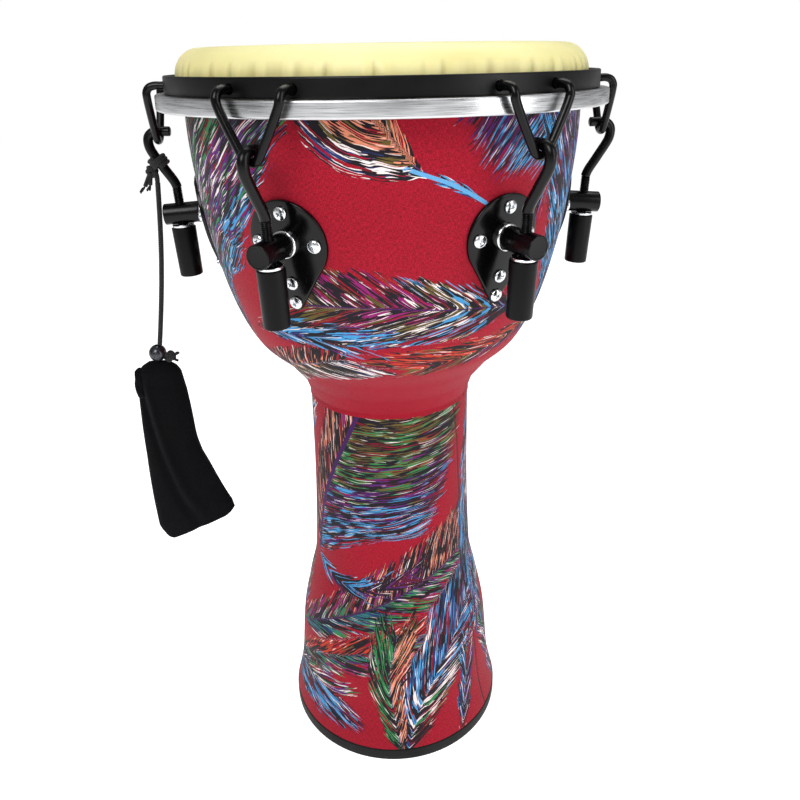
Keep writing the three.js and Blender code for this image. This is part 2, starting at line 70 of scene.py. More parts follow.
def make_camera():
    yaw, pitch, roll = CAMERA_YAW, CAMERA_PITCH, CAMERA_ROLL
    right = Vector((math.cos(yaw), -math.sin(yaw), 0))
    ahead = Vector((math.sin(yaw) * math.cos(pitch), math.cos(yaw) * math.cos(pitch), -math.sin(pitch)))
    up = right.cross(ahead)
    tilted_right = right * math.cos(roll) + up * math.sin(roll)
    tilted_up = up * math.cos(roll) - right * math.sin(roll)
    turn = Matrix.Rotation(DRUM_TURN, 4, "Z")
    axes = Matrix((tilted_right, tilted_up, -ahead)).transposed().to_4x4()
    place = Matrix.Translation(Vector(CAMERA_PLACE) * MM)
    data = bpy.data.cameras.new("camera")
    data.lens, data.sensor_width, data.shift_y = CAMERA_LENS, 36, CAMERA_SHIFT
    data.clip_start, data.clip_end = 0.01, 50
    camera = linked("camera", data)
    camera.matrix_world = turn @ place @ axes
    bpy.context.scene.camera = camera


make_camera()


# ---- Meshes --------------------------------------------------------------------------------------
def put(obj, look, body, replaced=()):
    """Gives a finished piece its material and body, and hides the solids it stands for."""
    if look is not None:
        obj.data.materials.clear()
        obj.data.materials.append(look)
    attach(obj, body)
    if replaced:
        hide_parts(*replaced)
    return obj


def mesh_object(name, points, faces, uvs=None, crease=32):
    """A piece from points in mm and faces, with a map named surface when uvs are given."""
    mesh = bpy.data.meshes.new(name)
    mesh.from_pydata((np.asarray(points, float) * MM).tolist(), [], faces)
    if uvs is not None:
        layer = mesh.uv_layers.new(name="surface")
        layer.data.foreach_set("uv", np.asarray(uvs, np.float32).ravel())
    return weld(linked(name, mesh), crease)


def shaded(obj, crease):
    """Smooth shading, with edges sharp past an angle in degrees."""
    obj.data.shade_smooth()
    obj.data.set_sharp_from_angle(angle=math.radians(crease))
    return obj


def weld(obj, crease=32, recalculate=False):
    """Merges doubled points and shades the piece."""
    bm = bmesh.new()
    bm.from_mesh(obj.data)
    bmesh.ops.remove_doubles(bm, verts=bm.verts, dist=2e-6)
    bmesh.ops.dissolve_degenerate(bm, edges=bm.edges, dist=1e-7)
    if recalculate:
        bmesh.ops.recalc_face_normals(bm, faces=bm.faces)
    bm.to_mesh(obj.data)
    bm.free()
    return shaded(obj, crease)


def places_of(mesh):
    """The x, y and z of a mesh's points, in mm."""
    co = np.zeros(len(mesh.vertices) * 3)
    mesh.vertices.foreach_get("co", co)
    return co.reshape(-1, 3).T / MM


def grid(rows, columns, wrap_rows=False):
    """Quads of a grid of points that closes round its columns, and each corner's row and column before wrapping."""
    i, j = np.meshgrid(np.arange(rows if wrap_rows else rows - 1), np.arange(columns), indexing="ij")
    corners = np.stack([np.stack([i + a, j + b], -1) for a, b in ((0, 0), (0, 1), (1, 1), (1, 0))], 2)
    corners = corners.reshape(-1, 4, 2)
    index = (corners[..., 0] % rows) * columns + corners[..., 1] % columns
    return index.tolist(), corners.reshape(-1, 2)


def around(points, azimuth):
    """Turns points made in a lug's own frame, which faces -Y, to the lug's azimuth."""
    points = np.asarray(points, float)
    x, y, z = points[..., 0], points[..., 1], points[..., 2]
    c, s = math.cos(azimuth), math.sin(azimuth)
    return np.stack([x * c - y * s, x * s + y * c, z], -1)


def swung(obj, azimuth):
    """Turns a whole piece about the drum's axis."""
    obj.data.transform(Matrix.Rotation(azimuth, 4, "Z"))
    return obj


def hermite(t, start, leaving, end, arriving):
    """A cubic curve between two values, with its slopes at both."""
    rise = 3 * t**2 - 2 * t**3
    return (1 - rise) * start + (t**3 - 2 * t**2 + t) * leaving + rise * end + (t**3 - t**2) * arriving


def lengths_along(path):
    """Length along a path up to each of its points."""
    return np.concatenate([[0], np.cumsum(np.linalg.norm(np.diff(path, axis=0), axis=1))])


def lathe(name, profile, columns=240, closed=True, crease=32, bend=None):
    """Turns a profile of (radius, height) about +Z. A closed profile runs up its outside and down its inside."""
    profile = np.asarray(profile, float)
    if closed:
        r, z = profile[:, 0], profile[:, 1]
        if (r * np.roll(z, -1) - np.roll(r, -1) * z).sum() < 0:
            profile = profile[::-1]
    angle = np.arange(columns) * TURN / columns
    r, z = profile[:, 0:1], profile[:, 1:2]
    points = np.stack([r * np.sin(angle), -r * np.cos(angle), z + 0 * angle], -1)
    if bend is not None:
        points = bend(points, angle)
    faces, corners = grid(len(profile), columns, wrap_rows=closed)
    steps = np.hypot(*(np.roll(profile, -1, 0) - profile).T)
    along = np.concatenate([[0], np.cumsum(steps)]) * MM
    u = corners[:, 1] * TURN / columns * profile[:, 0].max() * MM
    return mesh_object(name, points.reshape(-1, 3), faces, np.stack([u, along[corners[:, 0]]], -1), crease)


def rounded(corners, radii, steps=4, closed=True):
    """Rounds a profile's corners. radii is one number for all, or one for each corner."""
    corners = [np.array(p, float) for p in corners]
    radii = [radii] * len(corners) if np.isscalar(radii) else radii
    out = []
    for i, (p, radius) in enumerate(zip(corners, radii)):
        end = not closed and i in (0, len(corners) - 1)
        if end or radius == 0:
            out.append(p)
            continue
        before, after = corners[i - 1] - p, corners[(i + 1) % len(corners)] - p
        a, b = before / np.linalg.norm(before), after / np.linalg.norm(after)
        half = math.acos(max(-1, min(1, float(a @ b)))) / 2
        cut = min(radius / max(math.tan(half), 1e-6), 0.48 * np.linalg.norm(before), 0.48 * np.linalg.norm(after))
        for t in np.linspace(0, 1, steps + 1):
            out.append((1 - t) ** 2 * (p + a * cut) + 2 * t * (1 - t) * p + t * t * (p + b * cut))
    return out


def smooth_path(points, per_segment=12):
    """A centripetal Catmull-Rom curve through the points."""
    p = [np.array(q, float) for q in points]
    p = [2 * p[0] - p[1], *p, 2 * p[-1] - p[-2]]
    out = []
    for a, b, c, d in zip(p, p[1:], p[2:], p[3:]):
        t1, t2, t3 = (max(np.linalg.norm(y - x), 1e-6) ** 0.5 for x, y in ((a, b), (b, c), (c, d)))
        m1 = ((b - a) / t1 - (c - a) / (t1 + t2) + (c - b) / t2) * t2
        m2 = ((c - b) / t2 - (d - b) / (t2 + t3) + (d - c) / t3) * t2
        for t in np.arange(per_segment) / per_segment:
            out.append(hermite(t, b, m1, c, m2))
    out.append(p[-2])
    return np.array(out)


def resampled(path, step):
    """The same path with evenly spaced points, about a step apart."""
    path = np.asarray(path, float)
    length = lengths_along(path)
    at = np.linspace(0, length[-1], max(int(length[-1] / step), 2) + 1)
    return np.stack([np.interp(at, length, path[:, k]) for k in range(3)], -1)


def frames_along(path):
    """Tangents and two normals that don't twist along the path."""
    tangent = np.gradient(path, axis=0)
    tangent /= np.linalg.norm(tangent, axis=1)[:, None]
    first = np.cross(tangent[0], (0, 0, 1) if abs(tangent[0][2]) < 0.9 else (1, 0, 0))
    normals = [first / np.linalg.norm(first)]
    for t in tangent[1:]:
        n = normals[-1] - t * (normals[-1] @ t)
        normals.append(n / np.linalg.norm(n))
    normals = np.array(normals)
    return tangent, normals, np.cross(tangent, normals)


# A rounded end: (share of its length, share of its full width), from the very end inwards.
ROUND_END = [(0.0, 0.0), (0.45, 0.5), (0.8, 0.8)]
END_LENGTH = 0.6  # length of a rounded end for each mm that it narrows


def tube_points(path, radius, sides, cap=0.8, relief=None):
    """Rings of a rod along a path, with rounded ends. relief changes the radius by place and angle."""
    path = np.asarray(path, float)
    radius = np.full(len(path), float(radius)) if np.isscalar(radius) else np.asarray(radius, float)
    tangent, normal, side = frames_along(path)
    angle = np.arange(sides) * TURN / sides
    length = lengths_along(path)
    last = len(path) - 1

    def ring(i, shift=0.0, shrink=1.0):
        r = max(radius[i] - cap * (1 - shrink), 0.001) * np.ones(sides)
        if relief is not None:
            r = r + relief(length[i] + shift, angle)
        spokes = np.cos(angle)[:, None] * normal[i] + np.sin(angle)[:, None] * side[i]
        return path[i] + tangent[i] * shift + spokes * r[:, None]

    rings = [np.repeat(path[:1], sides, 0)]
    rings += [ring(0, cap * share * END_LENGTH, shrink) for share, shrink in ROUND_END]
    rings += [ring(i) for i in range(1, last)]
    rings += [ring(last, -cap * share * END_LENGTH, shrink) for share, shrink in ROUND_END[::-1]]
    rings.append(np.repeat(path[-1:], sides, 0))
    return np.array(rings)


def tube(name, path, radius, sides=20, cap=0.8, relief=None, crease=50):
    """A rod along a path, mapped in metres: u round it and v along it."""
    rings = tube_points(path, radius, sides, cap, relief)
    faces, corners = grid(len(rings), sides)
    along = lengths_along(rings.mean(1)) * MM
    size = float(np.max(radius)) * MM
    uvs = np.stack([corners[:, 1] * TURN / sides * size, along[corners[:, 0]]], -1)
    return mesh_object(name, rings.reshape(-1, 3), faces, uvs, crease)


def joined(name, parts, crease=40):
    """One mesh from several closed ones."""
    bm = bmesh.new()
    for part in parts:
        bm.from_mesh(part.data)
    mesh = bpy.data.meshes.new(name)
    bm.to_mesh(mesh)
    bm.free()
    for part in parts:
        bpy.data.objects.remove(part)
    return shaded(linked(name, mesh), crease)


def bake(obj):
    """Turns a piece's live modifiers into its plain mesh."""
    bpy.context.view_layer.update()
    evaluated = obj.evaluated_get(bpy.context.evaluated_depsgraph_get())
    mesh = bpy.data.meshes.new_from_object(evaluated)
    obj.modifiers.clear()
    obj.data = mesh
    return obj


def cut(obj, *tools, crease=32):
    """Takes the tools' shapes away from a piece."""
    for tool in tools:
        modifier = obj.modifiers.new("cut", "BOOLEAN")
        modifier.object, modifier.operation, modifier.solver = tool, "DIFFERENCE", "EXACT"
    bake(obj)
    for tool in tools:
        bpy.data.objects.remove(tool)
    return weld(obj, crease)


def turned_copy(source, name, azimuth):
    """A finished lug piece, copied round the drum with its place in its mesh."""
    obj = swung(linked(name, source.data.copy()), azimuth)
    obj.data.name = name
    return obj


# ---- Node helpers --------------------------------------------------------------------------------
def add(tree, kind, inputs=(), out=0, **settings):
    """A node with its settings and inputs, which are numbers or other nodes' outputs."""
    node = tree.nodes.new(kind)
    for key, value in settings.items():
        setattr(node, key, value)
    for key, value in inputs.items() if isinstance(inputs, dict) else enumerate(inputs):
        if isinstance(value, bpy.types.NodeSocket):
            tree.links.new(value, node.inputs[key])
        elif value is not None:
            node.inputs[key].default_value = value
    return node.outputs[out]


def calc(tree, operation, *values):
    return add(tree, "ShaderNodeMath", values, operation=operation)


def plus(tree, a, b):
    return calc(tree, "ADD", a, b)


def minus(tree, a, b):
    return calc(tree, "SUBTRACT", a, b)


def times(tree, a, b):
    return calc(tree, "MULTIPLY", a, b)


def part(tree, vector, k):
    """One of a vector's three numbers."""
    return add(tree, "ShaderNodeSeparateXYZ", [vector], out=k)


def field(tree, name, out=1):
    """A value that the mesh carries at its points."""
    return add(tree, "ShaderNodeAttribute", attribute_name=name, out=out)


def mix(tree, share, a, b):
    return add(tree, "ShaderNodeMix", {0: share, 6: a, 7: b}, out=2, data_type="RGBA")


def between(tree, value, low, high, to_low=0.0, to_high=1.0):
    return add(tree, "ShaderNodeMapRange", {0: value, 1: low, 2: high, 3: to_low, 4: to_high}, clamp=True)


def grain(tree, place, scale, detail=2.0, roughness=0.5):
    return add(tree, "ShaderNodeTexNoise", {"Vector": place, "Scale": scale, "Detail": detail, "Roughness": roughness})


def stretched(tree, place, scale):
    return add(tree, "ShaderNodeMapping", {"Vector": place, "Scale": scale})


def ramp(tree, value, stops, steady=False):
    node = tree.nodes.new("ShaderNodeValToRGB")
    node.color_ramp.interpolation = "CONSTANT" if steady else "LINEAR"
    elements = node.color_ramp.elements
    while len(elements) > 1:
        elements.remove(elements[-1])
    elements[0].position, elements[0].color = stops[0][0], colour(stops[0][1])
    for position, shade in stops[1:]:
        elements.new(position).color = colour(shade)
    tree.links.new(value, node.inputs[0])
    return node.outputs[0]


def colour(shade):
    """A linear colour from its 0 to 255 display values."""
    if len(shade) == 4:
        return shade
    return (*(((c / 255 + 0.055) / 1.055) ** 2.4 if c > 10 else c / 255 / 12.92 for c in shade), 1.0)


def look(name, **constants):
    """A new material: its tree and its shader. Constants go straight on the shader's sockets."""
    material = bpy.data.materials.new(name)
    material.use_nodes = True
    tree = material.node_tree
    shader = next(n for n in tree.nodes if n.type == "BSDF_PRINCIPLED")
    for key, value in constants.items():
        shader.inputs[key.replace("_", " ")].default_value = value
    return material, tree, shader


def bumped(tree, shader, height, distance, strength=1.0):
    normal = add(tree, "ShaderNodeBump", {"Strength": strength, "Distance": distance, "Height": height})
    tree.links.new(normal, shader.inputs["Normal"])


def finished(made, base, rough, height, distance, strength):
    """Links a look's colour, roughness and bump, and gives its material."""
    material, tree, shader = made
    tree.links.new(base, shader.inputs["Base Color"])
    tree.links.new(rough, shader.inputs["Roughness"])
    bumped(tree, shader, height, distance, strength)
    return material


def place_of(tree):
    return add(tree, "ShaderNodeTexCoord", out=3)


def surface_of(tree):
    return add(tree, "ShaderNodeUVMap", uv_map="surface")


# ---- The drum's outline --------------------------------------------------------------------------
FOOT_TOP, STEM_TOP, BOWL_START, MOUTH = 11.3, 270.0, 325.0, 573.0
FOOT_RADIUS, STEM_RADIUS, MOUTH_RADIUS = 96.8, 68.6, 152.2
FOOT_CURVE = [(1, 0), (0.79, 0.112), (0.61, 0.334), (0.362, 0.467), (0.106, 0.6)]
BOWL_CURVE = [
    (0, 0), (0.218, 0.123), (0.495, 0.216), (0.644, 0.309), (0.762, 0.424), (0.913, 0.655), (0.99, 0.887), (1, 1)]
FLARE, SWELL = FOOT_RADIUS - STEM_RADIUS, MOUTH_RADIUS - STEM_RADIUS
OUTLINE = [(STEM_RADIUS + FLARE * r, FOOT_TOP + (STEM_TOP - FOOT_TOP) * z) for r, z in FOOT_CURVE]
OUTLINE += [(STEM_RADIUS, STEM_TOP)]
OUTLINE += [(STEM_RADIUS + SWELL * r, BOWL_START + (MOUTH - BOWL_START) * z) for r, z in BOWL_CURVE]
OUTLINE = np.array(OUTLINE)


def soft_profile():
    """The outline as a smooth curve: heights, radii and the length of cloth up to each."""
    z, r = OUTLINE[:, 1], OUTLINE[:, 0]
    h, slope = np.diff(z), np.diff(r) / np.diff(z)
    m = np.zeros(len(z))
    for i in range(1, len(z) - 1):
        if slope[i - 1] * slope[i] > 0:
            a, b = 2 * h[i] + h[i - 1], h[i] + 2 * h[i - 1]
            m[i] = (a + b) / (a / slope[i - 1] + b / slope[i])
    m[0], m[-1] = slope[0], slope[-1]
    fine = np.linspace(z[0], z[-1], 1200)
    i = np.clip(np.searchsorted(z, fine, "right") - 1, 0, len(h) - 1)
    t = (fine - z[i]) / h[i]
    radius = hermite(t, r[i], h[i] * m[i], r[i + 1], h[i] * m[i + 1])
    cloth = np.concatenate([[0], np.cumsum(np.hypot(np.diff(fine), np.diff(radius)))])
    return fine, radius, cloth


WALL_Z, WALL_R, WALL_S = soft_profile()


def wall_radius(z, off=0.0):
    """Radius at a height of the surface that lies off outside the cloth."""
    slope = np.gradient(WALL_R, WALL_Z)
    n = np.hypot(1, slope)
    return np.interp(z, WALL_Z - off * slope / n, WALL_R + off / n)


def wall_normal(z):
    slope = np.interp(z, WALL_Z, np.gradient(WALL_R, WALL_Z))
    return np.array([1, -slope]) / math.hypot(1, slope)


def wall_points(low, high, off, count):
    """Profile points on the surface that lies off outside the cloth, evenly spaced along it."""
    s = np.linspace(np.interp(low, WALL_Z, WALL_S), np.interp(high, WALL_Z, WALL_S), count)
    z = np.interp(s, WALL_S, WALL_Z)
    slope = np.interp(z, WALL_Z, np.gradient(WALL_R, WALL_Z))
    n = np.hypot(1, slope)
    return np.stack([np.interp(z, WALL_Z, WALL_R) + off / n, z - off * slope / n], -1)


# ---- Printed cloth -------------------------------------------------------------------------------
INKS = {
    "black": (22, 20, 27), "white": (238, 226, 224), "sky": (66, 150, 206), "navy": (34, 52, 108),
    "purple": (88, 30, 110), "magenta": (142, 24, 104), "green": (42, 128, 72), "olive": (98, 84, 38),
    "salmon": (228, 142, 112), "orange": (196, 58, 32), "brown": (104, 52, 32), "teal": (44, 112, 112),
    "wine": (98, 12, 40),
}
# Each palette has four zones, from a feather's quill to its tip: (main ink, second ink).
PALETTES = [
    [("sky", "black"), ("purple", "green"), ("purple", "white"), ("green", "black")],
    [("salmon", "black"), ("salmon", "olive"), ("olive", "black"), ("white", "navy")],
    [("sky", "black"), ("sky", "navy"), ("purple", "black"), ("wine", "purple")],
    [("olive", "black"), ("magenta", "black"), ("olive", "white"), ("sky", "black")],
    [("orange", "olive"), ("orange", "wine"), ("olive", "black"), ("purple", "black")],
    [("sky", "black"), ("purple", "black"), ("green", "olive"), ("olive", "black")],
    [("teal", "navy"), ("green", "purple"), ("magenta", "olive"), ("black", "salmon")],
    [("navy", "sky"), ("sky", "navy"), ("white", "wine"), ("green", "black")],
]
ZONES = 4 * len(PALETTES)

# A feather: print layer, spine from quill to tip as (azimuth in degrees, height), then for its left and right
# vane (widths at quill, middle and tip), (lean of the barbs at quill and tip), bend of the barbs per mm,
# (palette, first zone, last zone, shift of zone towards the edge), then how ragged its edge is and its spine's
# half width, which is below zero for a sky-blue spine.
FEATHERS = [
    # bowl, front
    (0, [(-64, 394), (-76, 430), (-76, 480), (-70, 530), (-63, 575)], ((30, 40, 40), (0.9, 1.3), 0.004, (0, 0.8, 4, 0.0)),
     ((66, 94, 74), (0.95, 1.45), 0.002, (0, 0.8, 4, -0.6)), 12, 0.9),
    (0, [(6, 526), (0, 545), (-8, 570), (-14, 600)], ((44, 46, 46), (0.6, 1.7), 0.0, (1, 3.3, -3.6, 1.2)),
     ((3, 20, 30), (2.4, 1.4), 0.0, (1, 0, 2, 0)), 3.0, 0),
    (1, [(25, 503), (14, 519), (4, 529)], ((3, 3.4, 3.4), (5, 5), 0.0, (7, 1, 2.6, 0)),
     ((3, 3.4, 3.4), (5, 5), 0.0, (0, 0.2, 0.9, 0)), 0.5, -1.5),
    (0, [(74, 530), (62, 556), (46, 572), (22, 584)], ((34, 56, 22), (2.2, 0.5), 0.004, (2, 0, 2.4, 0.8)),
     ((30, 30, 10), (1.0, 1.4), 0.0, (2, 0, 3, 0)), 11, 0),
    (1, [(62, 560), (52, 530), (44, 505), (40, 476)], ((3, 5, 2), (3.0, 4.0), 0.0, (2, 0, 2, 0)),
     ((14, 12, 3), (2.6, 3.6), 0.0, (2, 0, 1.8, 0)), 8, 0),
    (1, [(60, 384), (70, 430), (73, 480), (70, 540), (68, 580)], ((50, 74, 60), (1.1, 1.5), 0.003, (2, 0, 3.2, 0.6)),
     ((30, 40, 40), (1.1, 1.3), 0.004, (5, 0, 4, 0)), 9, 0.8),
    (0, [(44, 424), (16, 431), (-8, 436), (-30, 436)], ((24, 35, 22), (1.6, 2.2), 0.004, (3, 3.6, 0, 0.5)),
     ((14, 28, 25), (2.0, 1.2), 0.004, (3, 3.4, 0, 0.6)), 5, 0.6),
    (0, [(68, 404), (48, 396), (28, 388), (6, 381)], ((7, 11, 6), (3.0, 3.0), 0.0, (4, 3.2, 1.9, 0)),
     ((7, 20, 12), (2.8, 3.0), 0.0, (4, 0, 1.6, 0)), 5, 0),
    (1, [(-56, 407), (-44, 409), (-28, 408), (-10, 402)], ((12, 20, 4), (2.5, 3.0), 0.0, (2, 0, 1.2, 1.0)),
     ((5, 9, 3), (2.5, 3.2), 0.0, (2, 2, 1, 0)), 6, 0),
    # waist and stem, front
    (0, [(-92, 345), (-66, 362), (-44, 376), (-18, 392)], ((22, 20, 12), (0.8, 0.7), 0.0, (6, 2, 4, 1.0)),
     ((22, 24, 28), (0.7, 0.9), 0.0, (1, 1, 3, 1.4)), 4, 0),
    (0, [(-71, 176), (-62, 228), (-50, 262), (-36, 296), (-24, 327)], ((20, 30, 34), (1.5, 1.7), 0.006, (6, 3.4, 4, 0.6)),
     ((98, 98, 88), (0.72, 0.34), 0.003, (5, 0, 3.99, -0.2)), 7, 2.1),
    (1, [(-74, 172), (-50, 160), (-20, 158), (10, 170)], ((5, 14, 4), (2.2, 2.8), 0.0, (2, 0, 3.4, 0.5)),
     ((6, 10, 3), (2.4, 3.0), 0.0, (2, 1, 3.9, 0)), 7, 0),
    (0, [(-80, 92), (-44, 124), (-10, 148), (24, 168), (58, 184)], ((14, 34, 42), (1.5, 0.7), 0.004, (6, 1.4, 3.99, 1.2)),
     ((16, 26, 40), (2.0, 1.5), 0.004, (6, 0, 2.0, 1.0)), 6, 0.7),
    (0, [(-94, 46), (-62, 76), (-30, 97), (22, 122)], ((8, 16, 8), (2.2, 2.8), 0.0, (4, 0, 1.4, 0)),
     ((14, 20, 10), (1.8, 2.4), 0.0, (6, 0.4, 1.5, 1.0)), 5, 0),
    (1, [(-104, 26), (-84, 44), (-66, 52), (-38, 50)], ((8, 16, 9), (1.6, 2.4), 0.0, (0, 1.2, 2.6, 0)),
     ((24, 28, 10), (1.2, 2.2), 0.0, (2, 0, 1.2, 0.8)), 6, 0),
    (0, [(2, 6), (10, 44), (24, 84), (44, 120), (66, 150)], ((16, 44, 26), (1.2, 1.7), 0.003, (7, 1.5, 0.1, 0.5)),
     ((16, 32, 32), (1.4, 1.8), 0.003, (7, 2.9, 1.2, 0.4)), 6, 0),
    (1, [(0, 6), (-4, 40), (-7, 76), (-2, 118)], ((9, 22, 9), (1.9, 2.3), 0.0, (7, 3.6, 3.9, 0.0)),
     ((6, 17, 12), (2.0, 2.4), 0.0, (1, 0.1, 1.6, 0.3)), 5, 0),
    (1, [(34, 6), (40, 36), (44, 66), (46, 94)], ((6, 10, 4), (2.6, 2.8), 0.0, (7, 0.4, 1.4, 0)),
     ((6, 11, 5), (2.2, 2.6), 0.0, (4, 3.1, 3.8, 0)), 4, 0),
    (1, [(78, 330), (72, 280), (66, 220), (66, 160), (62, 96)], ((12, 15, 6), (2.4, 2.6), 0.0, (0, 2, 1, 0)),
     ((10, 14, 4), (2.4, 3.0), 0.0, (2, 0.3, 2.4, 0)), 4, 0),
    (0, [(80, 8), (80, 40), (74, 74), (64, 104)], ((14, 17, 6), (1.8, 2.4), 0.0, (0, 1, 3.8, 0)),
     ((12, 17, 8), (1.6, 2.2), 0.0, (6, 3, 1, 0)), 4, 0.5),
    # bowl, sides and back
    (0, [(96, 400), (104, 446), (106, 500), (100, 560)], ((34, 50, 40), (1.0, 1.4), 0.004, (7, 0, 3.9, 0.5)),
     ((34, 54, 44), (1.0, 1.4), 0.004, (5, 0, 3.9, -0.5)), 6, 0.9),
    (1, [(134, 430), (142, 478), (140, 530), (134, 580)], ((22, 46, 50), (0.8, 1.2), 0.003, (1, 3.6, 0, 0.5)),
     ((20, 40, 40), (0.9, 1.3), 0.003, (1, 2.8, 0.2, 0.5)), 5, 0.7),
    (0, [(214, 402), (190, 412), (168, 416), (146, 412)], ((20, 34, 14), (1.7, 2.1), 0.003, (3, 0, 3.9, 0.4)),
     ((14, 24, 16), (1.9, 1.4), 0.003, (3, 3.6, 0, 0.6)), 5, 0.6),
    (0, [(192, 450), (182, 494), (176, 540), (172, 586)], ((24, 60, 44), (0.7, 1.3), 0.003, (2, 0, 3.4, 0.4)),
     ((34, 56, 40), (0.8, 1.3), 0.003, (0, 0, 3.9, -0.6)), 7, 0.9),
    (1, [(238, 398), (232, 450), (226, 510), (226, 570)], ((30, 52, 40), (0.9, 1.3), 0.003, (6, 0, 3.9, 0.5)),
     ((24, 46, 30), (1.0, 1.4), 0.003, (4, 0, 3.7, 0.5)), 6, 0.9),
    (1, [(262, 470), (258, 510), (258, 548), (262, 590)], ((20, 32, 24), (1.0, 1.3), 0.0, (5, 3.9, 1, 0.5)),
     ((16, 28, 20), (1.1, 1.4), 0.0, (7, 0, 2.6, 0.4)), 5, 0.6),
    # stem, sides and back
    (0, [(112, 170), (118, 214), (128, 256), (142, 300)], ((30, 48, 30), (0.9, 1.4), 0.004, (5, 3.9, 0.2, 0.5)),
     ((30, 60, 40), (0.2, 1.3), 0.004, (0, 0, 3.9, -0.4)), 5, 1.4),
    (1, [(180, 340), (196, 300), (204, 262), (208, 214)], ((20, 34, 12), (1.4, 1.9), 0.003, (6, 3.6, 0.3, 0.6)),
     ((20, 38, 16), (1.3, 1.8), 0.003, (1, 2.9, 0.3, 0.3)), 5, 0.6),
    (0, [(238, 196), (240, 236), (246, 276), (254, 318)], ((22, 40, 26), (1.0, 1.5), 0.004, (2, 0, 3, 0.4)),
     ((20, 44, 30), (0.9, 1.4), 0.004, (7, 0.2, 3.9, 0.4)), 6, 0.9),
    (0, [(120, 40), (142, 74), (166, 104), (194, 128)], ((16, 28, 16), (1.5, 1.8), 0.003, (3, 0.2, 3.9, 0.5)),
     ((16, 30, 22), (1.6, 1.6), 0.003, (6, 0, 3.9, 0.6)), 5, 0.8),
    (1, [(212, 12), (214, 54), (222, 96), (236, 134)], ((16, 32, 14), (1.3, 1.7), 0.003, (7, 3.5, 0.2, 0.5)),
     ((14, 30, 18), (1.4, 1.7), 0.003, (4, 0, 3.6, 0.5)), 6, 0.7),
    (0, [(256, 30), (262, 72), (266, 112), (264, 150)], ((10, 24, 12), (1.5, 1.9), 0.0, (5, 0, 3.9, 0.5)),
     ((10, 22, 12), (1.5, 1.9), 0.0, (0, 0, 3.6, 0.5)), 5, 0.5),
]
STEM_SEAM = [(57, 8), (55, 44), (53, 99), (54, 160), (56, 214), (52, 285), (46, 327)]
BOWL_SEAM = [(62, 300), (61, 480), (64, 580)]
WAIST_SEAM = 323.0
SPINE_STEP, RUN_OUT = 3.0, 20  # spacing of a spine's points, and how many run straight on past each end
FIELDS = ("barb", "ink", "edge")


def feather_fields(theta, arc, feather, index):
    """For each point of the cloth: where it lies along and across a feather's barbs, its colour zone, how far it is
    inside the feather's edge, its distance from the spine, and the spine's half width."""
    _, spine, left, right, ragged, shaft = feather
    middle = spine[len(spine) // 2]
    scale = np.interp(middle[1], WALL_Z, WALL_R)
    first = math.radians(middle[0])
    x = ((theta - first + math.pi) % TURN - math.pi) * scale
    points = []
    for azimuth, h in spine:
        past_edge = min(h - FOOT_TOP, 0) + max(h - MOUTH, 0)
        points.append(((math.radians(azimuth) - first) * scale, np.interp(h, WALL_Z, WALL_S) + past_edge, 0))
    line = resampled(smooth_path(points, 16), SPINE_STEP)[:, :2]
    ahead, behind = line[-1] - line[-2], line[0] - line[1]
    far = np.arange(1, RUN_OUT + 1)[:, None]
    length = SPINE_STEP * (len(line) - 1)
    line = np.concatenate([line[0] + behind * far[::-1], line, line[-1] + ahead * far])
    tangent = np.gradient(line, axis=0)
    tangent /= np.linalg.norm(tangent, axis=1)[:, None]
    place = np.stack([x, arc], -1)
    near = np.argmin(((place[:, None] - line[None]) ** 2).sum(-1), 1)
    off = place - line[near]
    along = (near - RUN_OUT) * SPINE_STEP + (off * tangent[near]).sum(-1)
    side = off[:, 0] * tangent[near][:, 1] - off[:, 1] * tangent[near][:, 0]
    away = np.abs(side)
    share = np.clip(along / length, 0, 1)
    out = {}
    for sign, (widths, leans, bend, (palette, zone_from, zone_to, edge_shift)) in ((-1, left), (1, right)):
        lean = leans[0] + (leans[1] - leans[0]) * share
        root = along - away * lean - bend * away**2
        step = np.clip(root / length, 0, 1)
        w0, w1, w2 = widths
        width = w0 * (1 - step) * (1 - 2 * step) + 4 * w1 * step * (1 - step) + w2 * step * (2 * step - 1)
        cover = np.minimum(width - away, np.minimum(root + 1.5, length - root) * 1.2)
        zone = zone_from + (zone_to - zone_from) * step + edge_shift * np.clip(away / np.maximum(width, 1), 0, 1)
        zone = (4 * palette + np.clip(zone, 0.02, 3.98)) / ZONES
        slant = np.hypot(1, lean)
        out[sign] = (away * slant + 60 * index, root / slant + 40 * index, zone, cover)
    fields = [np.where(side < 0, out[-1][k], out[1][k]) for k in range(4)]
    fields[3] = np.where(np.abs(x) > 0.8 * math.pi * scale, -50.0, fields[3])  # none on the far side
    return [*fields, side, np.full(len(x), float(shaft)), np.full(len(x), float(ragged))]


def seam_distance(theta, height, path, radius):
    """Signed distance round the drum from a seam, in mm."""
    azimuth = np.radians(np.interp(height, [h for _, h in path], [a for a, _ in path]))
    return ((theta - azimuth + math.pi) % TURN - math.pi) * radius


def print_on(obj, seam, feathers):
    """Writes the print's fields on a panel of cloth."""
    mesh = obj.data
    x, y, height = places_of(mesh)
    theta = np.arctan2(x, -y)
    arc = np.interp(height, WALL_Z, WALL_S)
    distance = seam_distance(theta, height, seam, np.hypot(x, y))
    for layer in (0, 1):
        best = None
        for index, feather in enumerate(feathers):
            if feather[0] != layer:
                continue
            f = np.array(feather_fields(theta, arc, feather, index))
            best = f if best is None else np.where((f[3] > best[3])[None], f, best)
        rows = (best[0] * MM, best[1] * MM, best[5]), (best[2], best[3], best[4]), (best[6], distance, height)
        for name, row in zip(FIELDS, rows):
            attribute = mesh.attributes.new(f"{name}_{layer}", "FLOAT_VECTOR", "POINT")
            attribute.data.foreach_set("vector", np.stack(row, -1).astype(np.float32).ravel())


